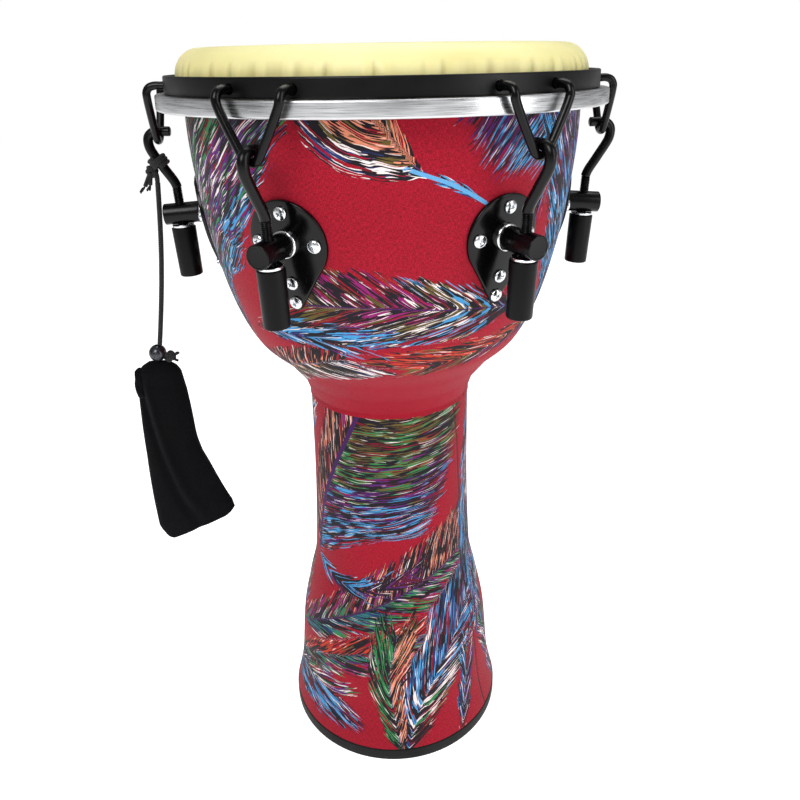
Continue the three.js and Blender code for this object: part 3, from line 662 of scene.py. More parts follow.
def print_group():
    """One layer of the print: brush strokes along a feather's barbs."""
    tree = bpy.data.node_groups.new("Feather print", "ShaderNodeTree")
    for name in ("Barb", "Ink", "Edge"):
        tree.interface.new_socket(name, in_out="INPUT", socket_type="NodeSocketVector")
    tree.interface.new_socket("Under", in_out="INPUT", socket_type="NodeSocketColor")
    tree.interface.new_socket("Color", in_out="OUTPUT", socket_type="NodeSocketColor")
    source, result = tree.nodes.new("NodeGroupInput"), tree.nodes.new("NodeGroupOutput")
    barb = source.outputs["Barb"]
    zone, cover, side = (part(tree, source.outputs["Ink"], k) for k in range(3))
    shaft, ragged = part(tree, barb, 2), part(tree, source.outputs["Edge"], 0)

    def moved(operation, a, b):
        return add(tree, "ShaderNodeVectorMath", [a, b], operation=operation)

    flat = moved("MULTIPLY", barb, (1, 1, 0))
    sway = {"Vector": stretched(tree, flat, (60, 60, 1)), "Scale": 1.0, "Detail": 1.0}
    sway = moved("SUBTRACT", add(tree, "ShaderNodeTexNoise", sway, out=1), (0.5, 0.5, 0.5))
    flat = moved("ADD", flat, moved("MULTIPLY", sway, (0.0, 0.004, 0)))

    def strokes(length, width, offset, detail=1.0):
        """Noise drawn out into strokes of a length and width in metres."""
        shift, scale = (offset, offset * 1.7, offset), (1 / length, 1 / width, 1)
        place = add(tree, "ShaderNodeMapping", {"Vector": flat, "Location": shift, "Scale": scale})
        return grain(tree, place, 1.0, detail)

    # The zone drifts a little from stroke to stroke, but stays in its own palette.
    count = float(len(PALETTES))
    drift = times(tree, minus(tree, strokes(0.036, 0.0055, 3.1), 0.5), 5.4 / ZONES)
    lowest = calc(tree, "DIVIDE", calc(tree, "FLOOR", times(tree, zone, count)), count)
    place = calc(tree, "MAXIMUM", plus(tree, zone, drift), plus(tree, lowest, 0.001))
    place = calc(tree, "MINIMUM", place, plus(tree, lowest, 0.999 / count))
    inks = [pair for palette in PALETTES for pair in palette]
    main, second = (
        ramp(tree, place, [(i / ZONES, INKS[pair[k]]) for i, pair in enumerate(inks)], steady=True) for k in (0, 1))
    clump = times(tree, minus(tree, strokes(0.014, 0.006, 43.0), 0.48), 0.9)
    painted = mix(tree, between(tree, strokes(0.028, 0.0013, 7.3), 0.54, 0.56), main, second)
    white = between(tree, strokes(0.022, 0.001, 11.9), 0.635, 0.655)
    painted = mix(tree, white, painted, colour(INKS["white"]))
    black = between(tree, plus(tree, strokes(0.034, 0.001, 17.2), clump), 0.515, 0.535)
    painted = mix(tree, black, painted, colour(INKS["black"]))

    # Gaps between the barbs open towards a feather's edge, and the edge itself is frayed.
    open_share = between(tree, cover, 0.0, 16.0, 0.46, 0.33)
    gap = calc(tree, "GREATER_THAN", strokes(0.036, 0.0013, 23.4), open_share)
    frayed = times(tree, minus(tree, strokes(0.05, 0.0016, 31.7, 2.0), 0.5), times(tree, ragged, 3.4))
    inside = between(tree, plus(tree, cover, frayed), -0.2, 0.3)
    cloth = mix(tree, times(tree, inside, gap), source.outputs["Under"], painted)
    half = calc(tree, "ABSOLUTE", shaft)
    spine = between(tree, minus(tree, half, calc(tree, "ABSOLUTE", side)), 0.0, 0.3)
    spine = times(tree, spine, between(tree, cover, -2.0, 0.0))
    spine = times(tree, spine, calc(tree, "GREATER_THAN", half, 0.1))
    quill = mix(tree, calc(tree, "GREATER_THAN", shaft, 0.0), colour((96, 164, 214)), colour((62, 22, 84)))
    tree.links.new(mix(tree, spine, cloth, quill), result.inputs["Color"])
    return tree


THREAD = 0.00075  # metres from one thread of the weave to the next


def printed_cloth(name):
    """Woven red cloth under two layers of print, with a stitched seam."""
    material, tree, shader = look(
        name, Roughness=0.88, Sheen_Weight=0.08, Sheen_Roughness=0.4, Specular_IOR_Level=0.25)
    group = print_group()
    uv = surface_of(tree)
    warp, weft = (grain(tree, stretched(tree, uv, (*scale, 1)), 1.0, 1.0) for scale in ((2400, 420), (420, 2400)))
    threads = times(tree, plus(tree, warp, weft), 0.5)
    patch = grain(tree, stretched(tree, uv, (14, 14, 1)), 1.0, 3.0)
    cloth = ramp(tree, threads, [(0.36, (124, 2, 22)), (0.5, (154, 5, 33)), (0.62, (176, 14, 46))])
    cloth = mix(tree, between(tree, patch, 0.35, 0.65, 0.0, 0.25), cloth, colour((132, 3, 26)))
    for layer in (0, 1):
        fields = [field(tree, f"{name}_{layer}") for name in FIELDS]
        cloth = add(tree, "ShaderNodeGroup", [*fields, cloth], node_tree=group)
    seam = calc(tree, "ABSOLUTE", part(tree, field(tree, "edge_0"), 1))
    cloth = mix(tree, between(tree, seam, 0.5, 1.3, 0.85, 0.0), cloth, colour((60, 6, 20)))
    cloth = mix(tree, between(tree, threads, 0.4, 0.6, 0.22, 0.0), cloth, colour((30, 4, 12)))
    tree.links.new(cloth, shader.inputs["Base Color"])
    waves = [calc(tree, "SINE", times(tree, part(tree, uv, k), TURN / THREAD)) for k in (0, 1)]
    weave = plus(tree, times(tree, times(tree, *waves), 0.25), threads)
    ridge = between(tree, seam, 0.0, 2.6, 0.0, 3.0)
    bumped(tree, shader, plus(tree, weave, ridge), 0.00018, 0.8)
    return material


def panel(name, low, high, off, columns, rows, thickness=0.9, lap=None):
    """A closed panel of cloth over the shell. lap lifts its outside near one end: (height, lift, reach)."""
    outer = wall_points(low, high, off, rows)
    if lap:
        height, lift, reach = lap
        outer[:, 0] += lift * np.clip(1 - np.abs(outer[:, 1] - height) / reach, 0, 1) ** 0.5
    inner = wall_points(low, high, off - thickness, 14)
    return lathe(name, [*outer, *inner[::-1]], columns, crease=60)


# ---- Finishes ------------------------------------------------------------------------------------
def speckled(name, shade, roughness, speck=0.1, bump=0.00004, scale=2600, **constants):
    """A painted or moulded finish: fine specks, faint smudges and handling marks."""
    made = look(name, **constants)
    tree = made[1]
    place = place_of(tree)
    fine, broad = grain(tree, place, scale, 2.0), grain(tree, place, 40, 4.0)
    scuffs = grain(tree, stretched(tree, place, (900, 900, 120)), 1.0, 3.0)
    dark, light = (tuple(c * (1 - speck) for c in shade), tuple(min(c * (1 + 3 * speck) + 3, 255) for c in shade))
    base = ramp(tree, fine, [(0.35, dark), (0.55, shade), (0.72, light)])
    smudge = between(tree, broad, 0.3, 0.7, roughness - 0.05, roughness + 0.07)
    rough = plus(tree, smudge, between(tree, scuffs, 0.55, 0.75, 0, 0.1))
    return finished(made, base, rough, plus(tree, fine, times(tree, scuffs, 0.4)), bump, 0.7)


def brushed(name, shade, roughness, along, scratch=0.00003):
    """Bare metal with a drawn or turned grain that runs the way along is small."""
    made = look(name, Metallic=1.0)
    tree = made[1]
    place = place_of(tree)
    lines, stains = grain(tree, stretched(tree, place, along), 1.0, 4.0), grain(tree, place, 26, 4.0)
    nicks = grain(tree, stretched(tree, place, tuple(0.35 * k for k in along)), 1.0, 5.0, 0.7)
    low, high = tuple(0.78 * c for c in shade), tuple(min(1.08 * c, 250) for c in shade)
    streaks = plus(tree, times(tree, lines, 0.7), times(tree, stains, 0.3))
    base = ramp(tree, streaks, [(0.35, low), (0.5, shade), (0.65, high)])
    base = mix(tree, between(tree, nicks, 0.64, 0.7, 0.0, 0.5), base, colour(tuple(0.45 * c for c in shade)))
    rough = between(tree, plus(tree, lines, stains), 0.7, 1.3, roughness - 0.08, roughness + 0.12)
    return finished(made, base, rough, plus(tree, lines, nicks), scratch, 0.6)


def film_look():
    """Cream drumhead film: clouded, yellower down its collar, and darkened with painted shade in the folds."""
    made = look(
        "drumhead film", Subsurface_Weight=0.12, Subsurface_Scale=0.004, Coat_Weight=0.12, Coat_Roughness=0.35)
    tree = made[1]
    place = place_of(tree)
    cloud, fine = grain(tree, place, 18, 5.0), grain(tree, place, 1500, 2.0)
    base = ramp(tree, cloud, [(0.3, (222, 213, 148)), (0.5, (228, 220, 157)), (0.7, (232, 225, 166))])
    base = mix(tree, between(tree, part(tree, place, 2), 0.586, 0.60, 0.3, 0.0), base, colour((214, 196, 122)))
    # Painted shade: the film's colour darkens where the collar's gathers crease in.
    crease = field(tree, "crease", 2)
    base = mix(tree, between(tree, crease, 0.0, 1.0, 0.0, 0.55), base, colour((150, 132, 70)))
    base = mix(tree, between(tree, fine, 0.55, 0.7, 0.0, 0.12), base, colour((206, 184, 120)))
    rough = between(tree, cloud, 0.3, 0.7, 0.42, 0.6)
    return finished(made, base, rough, plus(tree, fine, times(tree, cloud, 1.6)), 0.00006, 0.6)


def fibreglass_look():
    """Dark moulded shell with chopped strands lying both ways."""
    made = look("fibreglass shell")
    tree = made[1]
    place = place_of(tree)
    fibres = [grain(tree, stretched(tree, place, scale), 1.0, 2.0) for scale in ((60, 60, 900), (900, 900, 70))]
    chopped = calc(tree, "MAXIMUM", *fibres)
    base = ramp(tree, chopped, [(0.5, (24, 24, 26)), (0.62, (40, 40, 43)), (0.72, (70, 68, 62))])
    return finished(made, base, between(tree, chopped, 0.45, 0.7, 0.62, 0.4), chopped, 0.0003, 0.8)


def cord_look():
    """Braided cord, its strands crossing on the cord's own map: u round it and v along it."""
    made = look("braided cord", Sheen_Weight=0.06)
    tree = made[1]
    uv = surface_of(tree)
    u, v = (part(tree, uv, k) for k in (0, 1))
    turns, runs = times(tree, u, TURN / 0.0021), times(tree, v, TURN / 0.0034)
    over, under = (calc(tree, "SINE", joint(tree, turns, runs)) for joint in (plus, minus))
    braid = times(tree, over, under)
    fuzz = grain(tree, stretched(tree, uv, (3000, 600, 1)), 1.0, 3.0)
    shade = plus(tree, times(tree, braid, 0.2), fuzz)
    base = ramp(tree, shade, [(0.3, (2, 2, 2)), (0.55, (7, 7, 7)), (0.8, (16, 14, 14))])
    return finished(made, base, between(tree, fuzz, 0.3, 0.7, 0.65, 0.9), plus(tree, braid, fuzz), 0.0003, 0.9)


def velvet_look():
    """Black velvet with a fine pile, crushed in patches."""
    made = look(
        "black velvet", Sheen_Weight=0.16, Sheen_Roughness=0.4, Sheen_Tint=(0.35, 0.37, 0.45, 1),
        Specular_IOR_Level=0.08)
    tree = made[1]
    place = place_of(tree)
    pile = grain(tree, stretched(tree, place, (1500, 1500, 500)), 1.0, 3.0)
    crush = grain(tree, place, 42, 4.0)
    nap = plus(tree, times(tree, pile, 0.5), times(tree, crush, 0.5))
    base = ramp(tree, nap, [(0.36, (2, 2, 3)), (0.52, (5, 5, 7)), (0.66, (12, 12, 16))])
    return finished(made, base, between(tree, crush, 0.3, 0.7, 0.8, 0.98), plus(tree, pile, crush), 0.0005, 0.8)


LOOKS = {
    "print": printed_cloth("printed canvas"),
    "shell": fibreglass_look(),
    "rubber": speckled("foot rubber", (9, 9, 10), 0.6, 0.25, 0.00012, 1800, Specular_IOR_Level=0.18),
    "film": film_look(),
    "hoop": brushed("scratched aluminium", (205, 206, 208), 0.3, (40, 40, 1800)),
    "band": speckled("satin powder coat", (5, 5, 6), 0.34, 0.2, 0.00007, 2400, Specular_IOR_Level=0.2),
    "black": speckled("gloss black plating", (3, 3, 4), 0.22, 0.15, 0.000025, 3000, Specular_IOR_Level=0.2),
    "plate": speckled("gloss black plate", (4, 4, 5), 0.16, 0.12, 0.000025, 2200, Specular_IOR_Level=0.22),
    "screw": brushed("zinc screw", (222, 224, 228), 0.2, (900, 900, 900)),
    "bright": brushed("polished steel", (226, 227, 230), 0.14, (1200, 1200, 1200), 0.00002),
    "nut": speckled("matt black nut", (3, 3, 4), 0.36, 0.2, 0.00006, 2200, Specular_IOR_Level=0.14),
    "cord": cord_look(),
    "bead": speckled("gunmetal bead", (62, 63, 68), 0.24, 0.25, 0.00004, 1500, Metallic=0.85),
    "velvet": velvet_look(),
}

# ---- Cord, bead and tassel -----------------------------------------------------------------------
TASSEL_AZIMUTH = math.radians(-90)
CORD_TOP, BEAD, BEAD_RADIUS, CORD_RADIUS = (181.082, 505.249), (197.082, 360.249), 6.7, 2.0
BEAD_ENTRY = 2.5
cord_low = (BEAD[0] - BEAD_ENTRY, BEAD[1] + math.sqrt(BEAD_RADIUS**2 - BEAD_ENTRY**2) + 0.8)


def lug_spot(across, radius, height):
    return np.array([across, -radius, height])


share = np.linspace(0, 1, 40)[:, None]
line = np.array([lug_spot(0, *CORD_TOP)]) * (1 - share) + np.array([lug_spot(0, *cord_low)]) * share
line[:, 1] += 2.2 * np.sin(math.pi * share[:, 0])
line = around(line, TASSEL_AZIMUTH)


def braid_relief(length, angle):
    """Height of a braid's crossing strands on the cord."""
    over, under = np.abs(np.sin(2 * angle + length * 1.9)), np.abs(np.cos(2 * angle - length * 1.9))
    return -0.16 + 0.16 * over * under * 2


def twist_relief(length, angle):
    """Height of a twisted cord's strands."""
    return 0.1 * np.sin(3 * angle + 2.4 * length)


def trefoil(count, size, depth, overlap):
    """Path of a closed overhand knot, flat in its last axis, whose end runs on over its start."""
    t = np.linspace(0, TURN, count + 1)[:-1]
    flat = np.sin(t) + 2 * np.sin(2 * t), np.cos(t) - 2 * np.cos(2 * t)
    path = np.stack([*flat, -np.sin(3 * t) * depth], -1) * size
    return np.concatenate([path, path[:overlap]])


tassel_cord = tube("cord_of_tassel", resampled(line, 0.35), CORD_RADIUS, 20, 0.5, braid_relief, 80)
put(tassel_cord, LOOKS["cord"], "tassel", ["tassel_cord"])

WRAP_CENTRE, WRAP_RADIUS, WRAP_PITCH = np.array([0, -178.48, 521.25]), 5.85, 2.8
knot_at = np.array([0, -184.5, 514.0])


def strands(base, tip, radius, count, spread, wave, seed):
    """Frayed end of a cord: strands that fan out from its base."""
    random = np.random.default_rng(seed)
    out = []
    for i in range(count):
        end = tip + random.uniform(-spread, spread, 3) * (1, 1, 0.6)
        bow = random.uniform(-wave, wave, 3)
        t = np.linspace(0, 1, 9)[:, None]
        out.append(tube(f"strand_{i}", base * (1 - t) + end * t + bow * np.sin(math.pi * t), radius, 7, 0.3))
    return out


def loop_knot():
    """Three turns of the cord round the rod, a knot outside them, two frayed tails and the cord's first stub."""
    axis = np.array([0, -0.52, 0.854])  # along the rod where the cord is tied
    across, out = np.array([1.0, 0, 0]), np.cross(axis, (1.0, 0, 0))
    t = np.linspace(0, 3 * TURN, 110)[:, None]
    wraps = WRAP_CENTRE + (across * np.cos(t) + out * np.sin(t)) * WRAP_RADIUS + axis * (t / TURN - 1.5) * WRAP_PITCH
    turns = tube("wraps", wraps, 1.7, 14, 0.5, twist_relief)
    knot = tube("knot", knot_at + trefoil(120, 1.22, 2.2, 6)[:, [0, 2, 1]], 1.85, 12, 0.5, twist_relief)
    tails = []
    for i, (side, reach) in enumerate(((-5.6, 6.0), (5.8, 9.0))):
        tip = knot_at + np.array([side, -reach, -16])
        half = knot_at + (tip - knot_at) * 0.72 + (0, 0.8, 0)
        path = smooth_path([knot_at + (side * 0.4, -1, -1), (knot_at + half) / 2 + (0, -0.5, 0), half])
        tails.append(tube(f"tail_{i}", path, 1.7, 10, 0.5))
        tails += strands(half, tip, 0.4, 13, 1.4, 0.8, 5 + i)
    stub_end = (0, -CORD_TOP[0], CORD_TOP[1] + 0.05)
    hanger = smooth_path([knot_at + (0, 1.5, 1.0), knot_at + (0, 3.0, -3.0), stub_end])
    tails.append(tube("hanger", hanger, np.linspace(2.1, 1.9, len(hanger)), 16, 0.3))
    return swung(joined("knot_on_rod", [turns, knot, *tails], 60), TASSEL_AZIMUTH)


knot_piece = put(loop_knot(), LOOKS["cord"], "rod_1", ["cord_knot"])

BEAD_SHOWN = 7.3  # the polished ball stands a little proud of its plain size
BEAD_BORE = 1.25  # angle from the bead's middle to the edge of its bore
ball = [(BEAD_SHOWN * math.cos(a), BEAD_SHOWN * math.sin(a)) for a in np.linspace(-BEAD_BORE, BEAD_BORE, 30)]
bore = BEAD_SHOWN * math.cos(BEAD_BORE)
bead = lathe("bead", [*ball, (bore, BEAD_SHOWN * 0.9), (bore, -BEAD_SHOWN * 0.9)], 64, crease=50)
bead.data.transform(Matrix.Translation(Vector((-BEAD[0], 0, BEAD[1])) * MM))
put(bead, LOOKS["bead"], "tassel", ["tassel_bead"])

TASSEL_LENGTH, TASSEL_TOP, VELVET_THICKNESS = 175.0, BEAD[1] - BEAD_RADIUS - 1.3, 2.2
# The tassel's half width at shares of its fall.
TASSEL_FALLS = [0, 0.02, 0.05, 0.15, 0.25, 0.5, 0.75, 0.92, 1]
TASSEL_HALVES = [9, 14.5, 18, 20.6, 21.8, 25.4, 30.5, 33.8, 32.6]


def tassel_cloth():
    """Velvet gathered at its top and folded flat: a wide sheet pleated into broad soft folds."""
    rows, columns = 110, 240
    fall = np.linspace(0, 1, rows)[:, None]
    angle = np.arange(columns)[None] * TURN / columns
    sine, cosine = np.sin(angle), np.cos(angle)
    half = np.interp(fall, TASSEL_FALLS, TASSEL_HALVES)
    swell = 1 - 0.1 * np.exp(-(((fall - 0.42) / 0.12) ** 2))
    outward = np.sign(cosine) * np.abs(cosine) ** 0.9
    depth = np.sign(sine) * np.abs(sine) ** 0.8 * (0.2 + 0.19 * (1 - fall))
    drift = 20 * fall**1.85
    y = -BEAD[0] + drift - half * outward * np.where(outward < 0, swell, 1)

    # Folds run down the cloth and lean inwards, and flatten out at the hem.
    fold_line = 0.66 - 0.95 * fall
    ridge = np.exp(-(((outward - fold_line) / 0.15) ** 2)) * np.clip(fall * 5, 0, 1)
    valley = np.exp(-(((outward - fold_line - 0.27) / 0.13) ** 2)) * np.clip(fall * 6, 0, 1)
    second = np.exp(-(((outward + 0.35 - 0.3 * fall) / 0.2) ** 2)) * np.clip(fall * 2 - 0.3, 0, 1)
    soft = 0.3 * np.sin(9 * fall + 3 * outward) + 0.35 * np.sin(5 * outward - 14 * fall) * fall
    front = np.where(sine < 0, 1.0, 0.55)
    folds = 2.6 * ridge - 3.2 * valley - 1.2 * second + soft
    x = half * depth + np.sign(sine) * np.abs(sine) ** 0.5 * front * folds * np.clip((1.03 - fall) * 5, 0.25, 1)

    # The hem slants up towards the drum, and its two corners are rounded.
    hem = 0.4 * half * (1 - outward) * np.clip(fall * 2 - 1, 0, 1)
    corner = np.clip((fall - 0.88) / 0.12, 0, 1) ** 2 * np.where(outward > 0, 8.0, 4.0)
    hem = hem + corner * np.clip((np.abs(outward) - 0.72) / 0.28, 0, 1) ** 2
    z = TASSEL_TOP - TASSEL_LENGTH * fall + hem
    outside = np.stack([x, y, z], -1)
    inward = np.stack([0 * x, y.mean(1, keepdims=True) + 0 * x, z], -1) - outside
    reach = np.maximum(np.linalg.norm(inward, axis=-1, keepdims=True), 0.1)
    inside = (outside + inward * np.minimum(VELVET_THICKNESS / reach, 0.6))[::-1][: rows - 8]
    lip = (outside[-1:] + inside[:1]) / 2 - (0, 0, 0.6)
    close = np.repeat(inside[-1].mean(0)[None, None], columns, 1)
    top = np.repeat((outside[0].mean(0) + (0, 0, 1.2))[None, None], columns, 1)
    shell = np.concatenate([top, outside, lip, inside, close])
    faces, corners = grid(len(shell), columns)
    uvs = np.stack([corners[:, 1] * 0.0009, corners[:, 0] * 0.0016], -1)
    obj = mesh_object("velvet_tassel", around(shell, TASSEL_AZIMUTH).reshape(-1, 3), faces, uvs, 75)
    return weld(obj, 75, recalculate=True)


def roll_relief(length, angle):
    return 0.35 * np.sin(2 * angle + 0.5 * length) + 0.25 * np.sin(5 * angle)


def rolled_edge():
    """The cloth's rolled selvedge, tacked down at the outer side of the gathered top."""
    t = np.linspace(0, 1, 46)
    radius = 4.2 * np.clip(np.sin(math.pi * np.clip(t, 0.02, 0.98)) * 2.4, 0.25, 1) ** 0.6
    bowed = -BEAD[0] - 16.2 - 1.6 * np.sin(math.pi * t)
    path = np.stack([1.5 * np.sin(2.5 * t), bowed, TASSEL_TOP - 5 - 29 * t], -1)
    roll = tube("velvet_roll", path, radius, 26, 1.2, roll_relief, 75)
    return swung(roll, TASSEL_AZIMUTH)


velvet, roll = tassel_cloth(), rolled_edge()
knot_low = np.array([0, -BEAD[0] + 9.8, TASSEL_TOP + 4.4])
small = [tube("small_knot", knot_low + trefoil(96, 1.3, 1.7, 5), 2.1, 12, 0.5)]
small += strands(knot_low + (0, 2, 0), knot_low + (0, 8.0, 3.0), 0.6, 9, 1.4, 0.5, 21)
small += strands(knot_low + (0, 1, -1), knot_low + (0, 6.0, -4.0), 0.6, 7, 1.2, 0.4, 22)
small_knot = swung(joined("knot_under_bead", small, 60), TASSEL_AZIMUTH)
put(velvet, LOOKS["velvet"], "tassel", ["tassel"])
put(roll, LOOKS["velvet"], "tassel", [])
put(small_knot, LOOKS["cord"], "tassel", [])

# ---- Shell, cloth and foot -----------------------------------------------------------------------
SHELL_OUT, SHELL_IN, WAIST = -1.2, -6.7, 320.0
stem = [*wall_points(13, WAIST - 0.3, SHELL_OUT, 60), *wall_points(13, WAIST - 0.3, SHELL_IN, 60)[::-1]]
stem += [(90.2, 3.3), (94.5, 3.3), (94.5, 11.6)]  # the shell's foot, inside the tread
bowl_out, bowl_in = wall_points(WAIST, MOUTH, SHELL_OUT, 70), wall_points(WAIST, MOUTH, SHELL_IN, 70)

# The rim's rounding and the head's shoulder turn about one centre.
SHOULDER = (138.3, 588.3)
RIM_ROUNDING, HEAD_ROUNDING, FILM = 15.5, 17.0, 1.2
HEAD_TOP = SHOULDER[1] + HEAD_ROUNDING


def shoulder_arc(radius, angles):
    return [(SHOULDER[0] + radius * math.cos(a), SHOULDER[1] + radius * math.sin(a)) for a in angles]


rim = [(153.8, 583), *shoulder_arc(RIM_ROUNDING, np.linspace(0, math.pi / 2, 10))]
rim += [(137.1, 603.4), (136.5, 602.0), (145.5, 581)]
put(lathe("shell_of_stem", stem, 160), LOOKS["shell"], "drum", ["shell_stem"])
bowl = lathe("shell_of_bowl", [*bowl_out, *rim, *bowl_in[::-1]], 200)
put(bowl, LOOKS["shell"], "drum", ["shell_bowl"])

bowl_cloth = panel("cloth_of_bowl", WAIST_SEAM - 1.5, MOUTH, 0.0, 420, 122, lap=(WAIST_SEAM - 1.5, 0.7, 7.0))
stem_cloth = panel("cloth_of_stem", FOOT_TOP, WAIST_SEAM - 1.0, 0.0, 300, 150)
print_on(bowl_cloth, BOWL_SEAM, [f for f in FEATHERS if max(h for _, h in f[1]) > WAIST_SEAM + 6])
print_on(stem_cloth, STEM_SEAM, [f for f in FEATHERS if min(h for _, h in f[1]) < WAIST_SEAM + 30])
put(bowl_cloth, LOOKS["print"], "drum", ["fabric_cover"])
put(stem_cloth, LOOKS["print"], "drum", ["fabric_cover"])

TREAD_IN, TREAD_OUT, TREAD_TOP = 87.4, 97.4, 11
GROOVE_IN, GROOVE_OUT, GROOVE_FLOOR = 89.9, 94.8, 3
foot = [(TREAD_IN, 0), (TREAD_OUT, 0), (TREAD_OUT, TREAD_TOP), (GROOVE_OUT, TREAD_TOP), (GROOVE_OUT, GROOVE_FLOOR),
        (GROOVE_IN, GROOVE_FLOOR), (GROOVE_IN, TREAD_TOP), (TREAD_IN, TREAD_TOP)]
foot = rounded(foot, [1, 1.6, 1.4, 0.5, 0.4, 0.4, 0.5, 0.8], 5)
put(lathe("foot_tread", foot, 300), LOOKS["rubber"], "drum", ["foot_ring"])

# ---- Drumhead and hoops --------------------------------------------------------------------------
COLLAR_INSIDE = 153.9  # radius past which a point lies on the outside of the head's collar


def gather_fold(angle):
    """Depth of the collar's gathers round the drum, from 0 in a crease to 1 on a ridge."""
    fold = np.abs(np.sin(31 * angle + 0.9 * np.sin(5 * angle))) ** 1.5 * 0.6
    fold = fold + np.abs(np.sin(47 * angle + 1.3 * np.sin(3 * angle + 1))) * 0.4
    return fold * (0.7 + 0.3 * np.sin(7 * angle + 2))


def gathers(angle):
    return np.clip(1 - 3.2 * gather_fold(angle), 0, 1)


def collar_share(z):
    """How strongly a height belongs to the collar."""
    return np.clip((600 - z) / 12, 0, 1) ** 1.3 * np.clip((z - 572.5) / 5, 0, 1)


def pleated(points, angle):
    """Vertical gathers in the head's collar, which fade out over its shoulder and into the hoop."""
    x, y, z = points[..., 0], points[..., 1], points[..., 2]
    r = np.hypot(x, y)
    lift = collar_share(z) * (r > COLLAR_INSIDE) * (2.6 * gather_fold(angle) - 0.3)
    scale = 1 + lift / np.maximum(r, 1)
    sag = -0.25 * np.cos(2 * angle + 0.4) * np.clip((z - 600) / 5, 0, 1)
    return np.stack([x * scale, y * scale, z + sag * (r > 60)], -1)


def mark_creases(obj):
    """Writes how deep in a gather each point of the collar lies, so that creases look shaded."""
    x, y, z = places_of(obj.data)
    depth = gathers(np.arctan2(x, -y)) * collar_share(z) * (np.hypot(x, y) > COLLAR_INSIDE)
    obj.data.attributes.new("crease", "FLOAT", "POINT").data.foreach_set("value", depth.astype(np.float32))


def head_profile():
    """The head from its centre over the shoulder and down the collar into the hoop's slot, and back inside."""
    shoulder = shoulder_arc(HEAD_ROUNDING, np.linspace(math.pi / 2, 0, 14))
    inner = shoulder_arc(HEAD_ROUNDING - FILM, np.linspace(0, math.pi / 2, 14))
    under = HEAD_TOP - FILM
    outside = [*[(r, HEAD_TOP) for r in (0, 30, 70, 100, 125)], *shoulder]
    outside += [(155.35, z) for z in np.linspace(587, 584.3, 3)]
    outside += [(155.4 + 3.0 * t, 584.3 - 6.3 * t) for t in np.linspace(0.15, 1, 6)]
    outside += [(158.4, 574), (158.4, 567.6)]
    inside = [(157.2, 567.6), (157.2, 577), (154.3, 584.6), *inner, *[(r, under) for r in (125, 60, 0)]]
    return outside + inside


head = lathe("head", head_profile(), 720, crease=60, bend=pleated)
mark_creases(head)
head.data.materials.append(LOOKS["film"])
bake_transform(head)
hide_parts("drumhead")

HOOP_IN, HOOP_OUT, HOOP_LOW, HOOP_TOP = 154.5, 171.9, 562.4, 573.6
SLOT_IN, SLOT_OUT, SLOT_FLOOR = 156.8, 158.8, 565
hoop = [(HOOP_IN, HOOP_LOW), (HOOP_OUT, HOOP_LOW), (HOOP_OUT, HOOP_TOP), (SLOT_OUT, HOOP_TOP), (SLOT_OUT, SLOT_FLOOR),
        (SLOT_IN, SLOT_FLOOR), (SLOT_IN, HOOP_TOP), (HOOP_IN, HOOP_TOP)]
hoop = rounded(hoop, [0.8, 1.6, 1.4, 0.5, 0.3, 0.3, 0.4, 0.4], 5)
put(lathe("crown_ring", hoop, 360), LOOKS["hoop"], "hoops", ["flesh_hoop"])

LUGS = [math.radians(-90 + 60 * k) for k in range(6)]
HOLE_SIDE, HOLE_HEIGHT, HOLE_RADIUS = 23.0, 579.5, 3.55
BAND_IN, BAND_OUT, BAND_LOW, BAND_TOP = 162, 165, 573.9, 586.7

band = [(BAND_IN, BAND_LOW), (BAND_OUT, BAND_LOW), (BAND_OUT, BAND_TOP), (BAND_IN, BAND_TOP)]
band = lathe("top_band", rounded(band, [0.6, 0.9, 1.3, 0.9], 5), 480)
drills = []
for azimuth in LUGS:
    for side in (-HOLE_SIDE, HOLE_SIDE):
        way = np.linspace((side, -150, HOLE_HEIGHT), (side, -175, HOLE_HEIGHT), 3)
        drills.append(swung(tube("drill", way, HOLE_RADIUS, 32, 0.001), azimuth))
cut(band, joined("drills", drills))
put(band, LOOKS["band"], "hoops", ["counterhoop"])

# ---- One lug, facing -Y, and its copies ----------------------------------------------------------
ROD_CROSS = (165.143, 479.893)
ROD_TILT = math.radians(4)
ROD_UP = (math.sin(ROD_TILT), math.cos(ROD_TILT))
POST_OUT = (math.cos(ROD_TILT), -math.sin(ROD_TILT))
LUG_CENTRE, ROD_RADIUS, WIRE_RADIUS, POST_RADIUS = 481.4, 3.8, 3.0, 8.5
HOOK_HEIGHT = HOLE_HEIGHT - 35  # of the rod's hook, which the claw's bend sits in
THREAD_PITCH = 1.25
TIP_DROP, TIP_RADIUS, PLATE_POINTS = 45.0, 4.0, 120  # a plate's small end below its middle
SCREW_HEAD = 4.75


def on_rod(d):
    """The place on a rod's axis that is d above the post's axis."""
    return np.array([0, -(ROD_CROSS[0] + ROD_UP[0] * d), ROD_CROSS[1] + ROD_UP[1] * d])


def on_post(d):
    """The place on a post's axis that is d outside the rod's axis."""
    return np.array([0, -(ROD_CROSS[0] + POST_OUT[0] * d), ROD_CROSS[1] + POST_OUT[1] * d])


def aimed(obj, place, direction):
    """Turns a piece made around +Z to a direction and moves it to its place."""
    turn = Vector((0, 0, 1)).rotation_difference(Vector(direction)).to_matrix().to_4x4()
    obj.data.transform(Matrix.Translation(Vector(place) * MM) @ turn)
    return obj


rod_up, post_out = on_rod(1) - on_rod(0), on_post(1) - on_post(0)


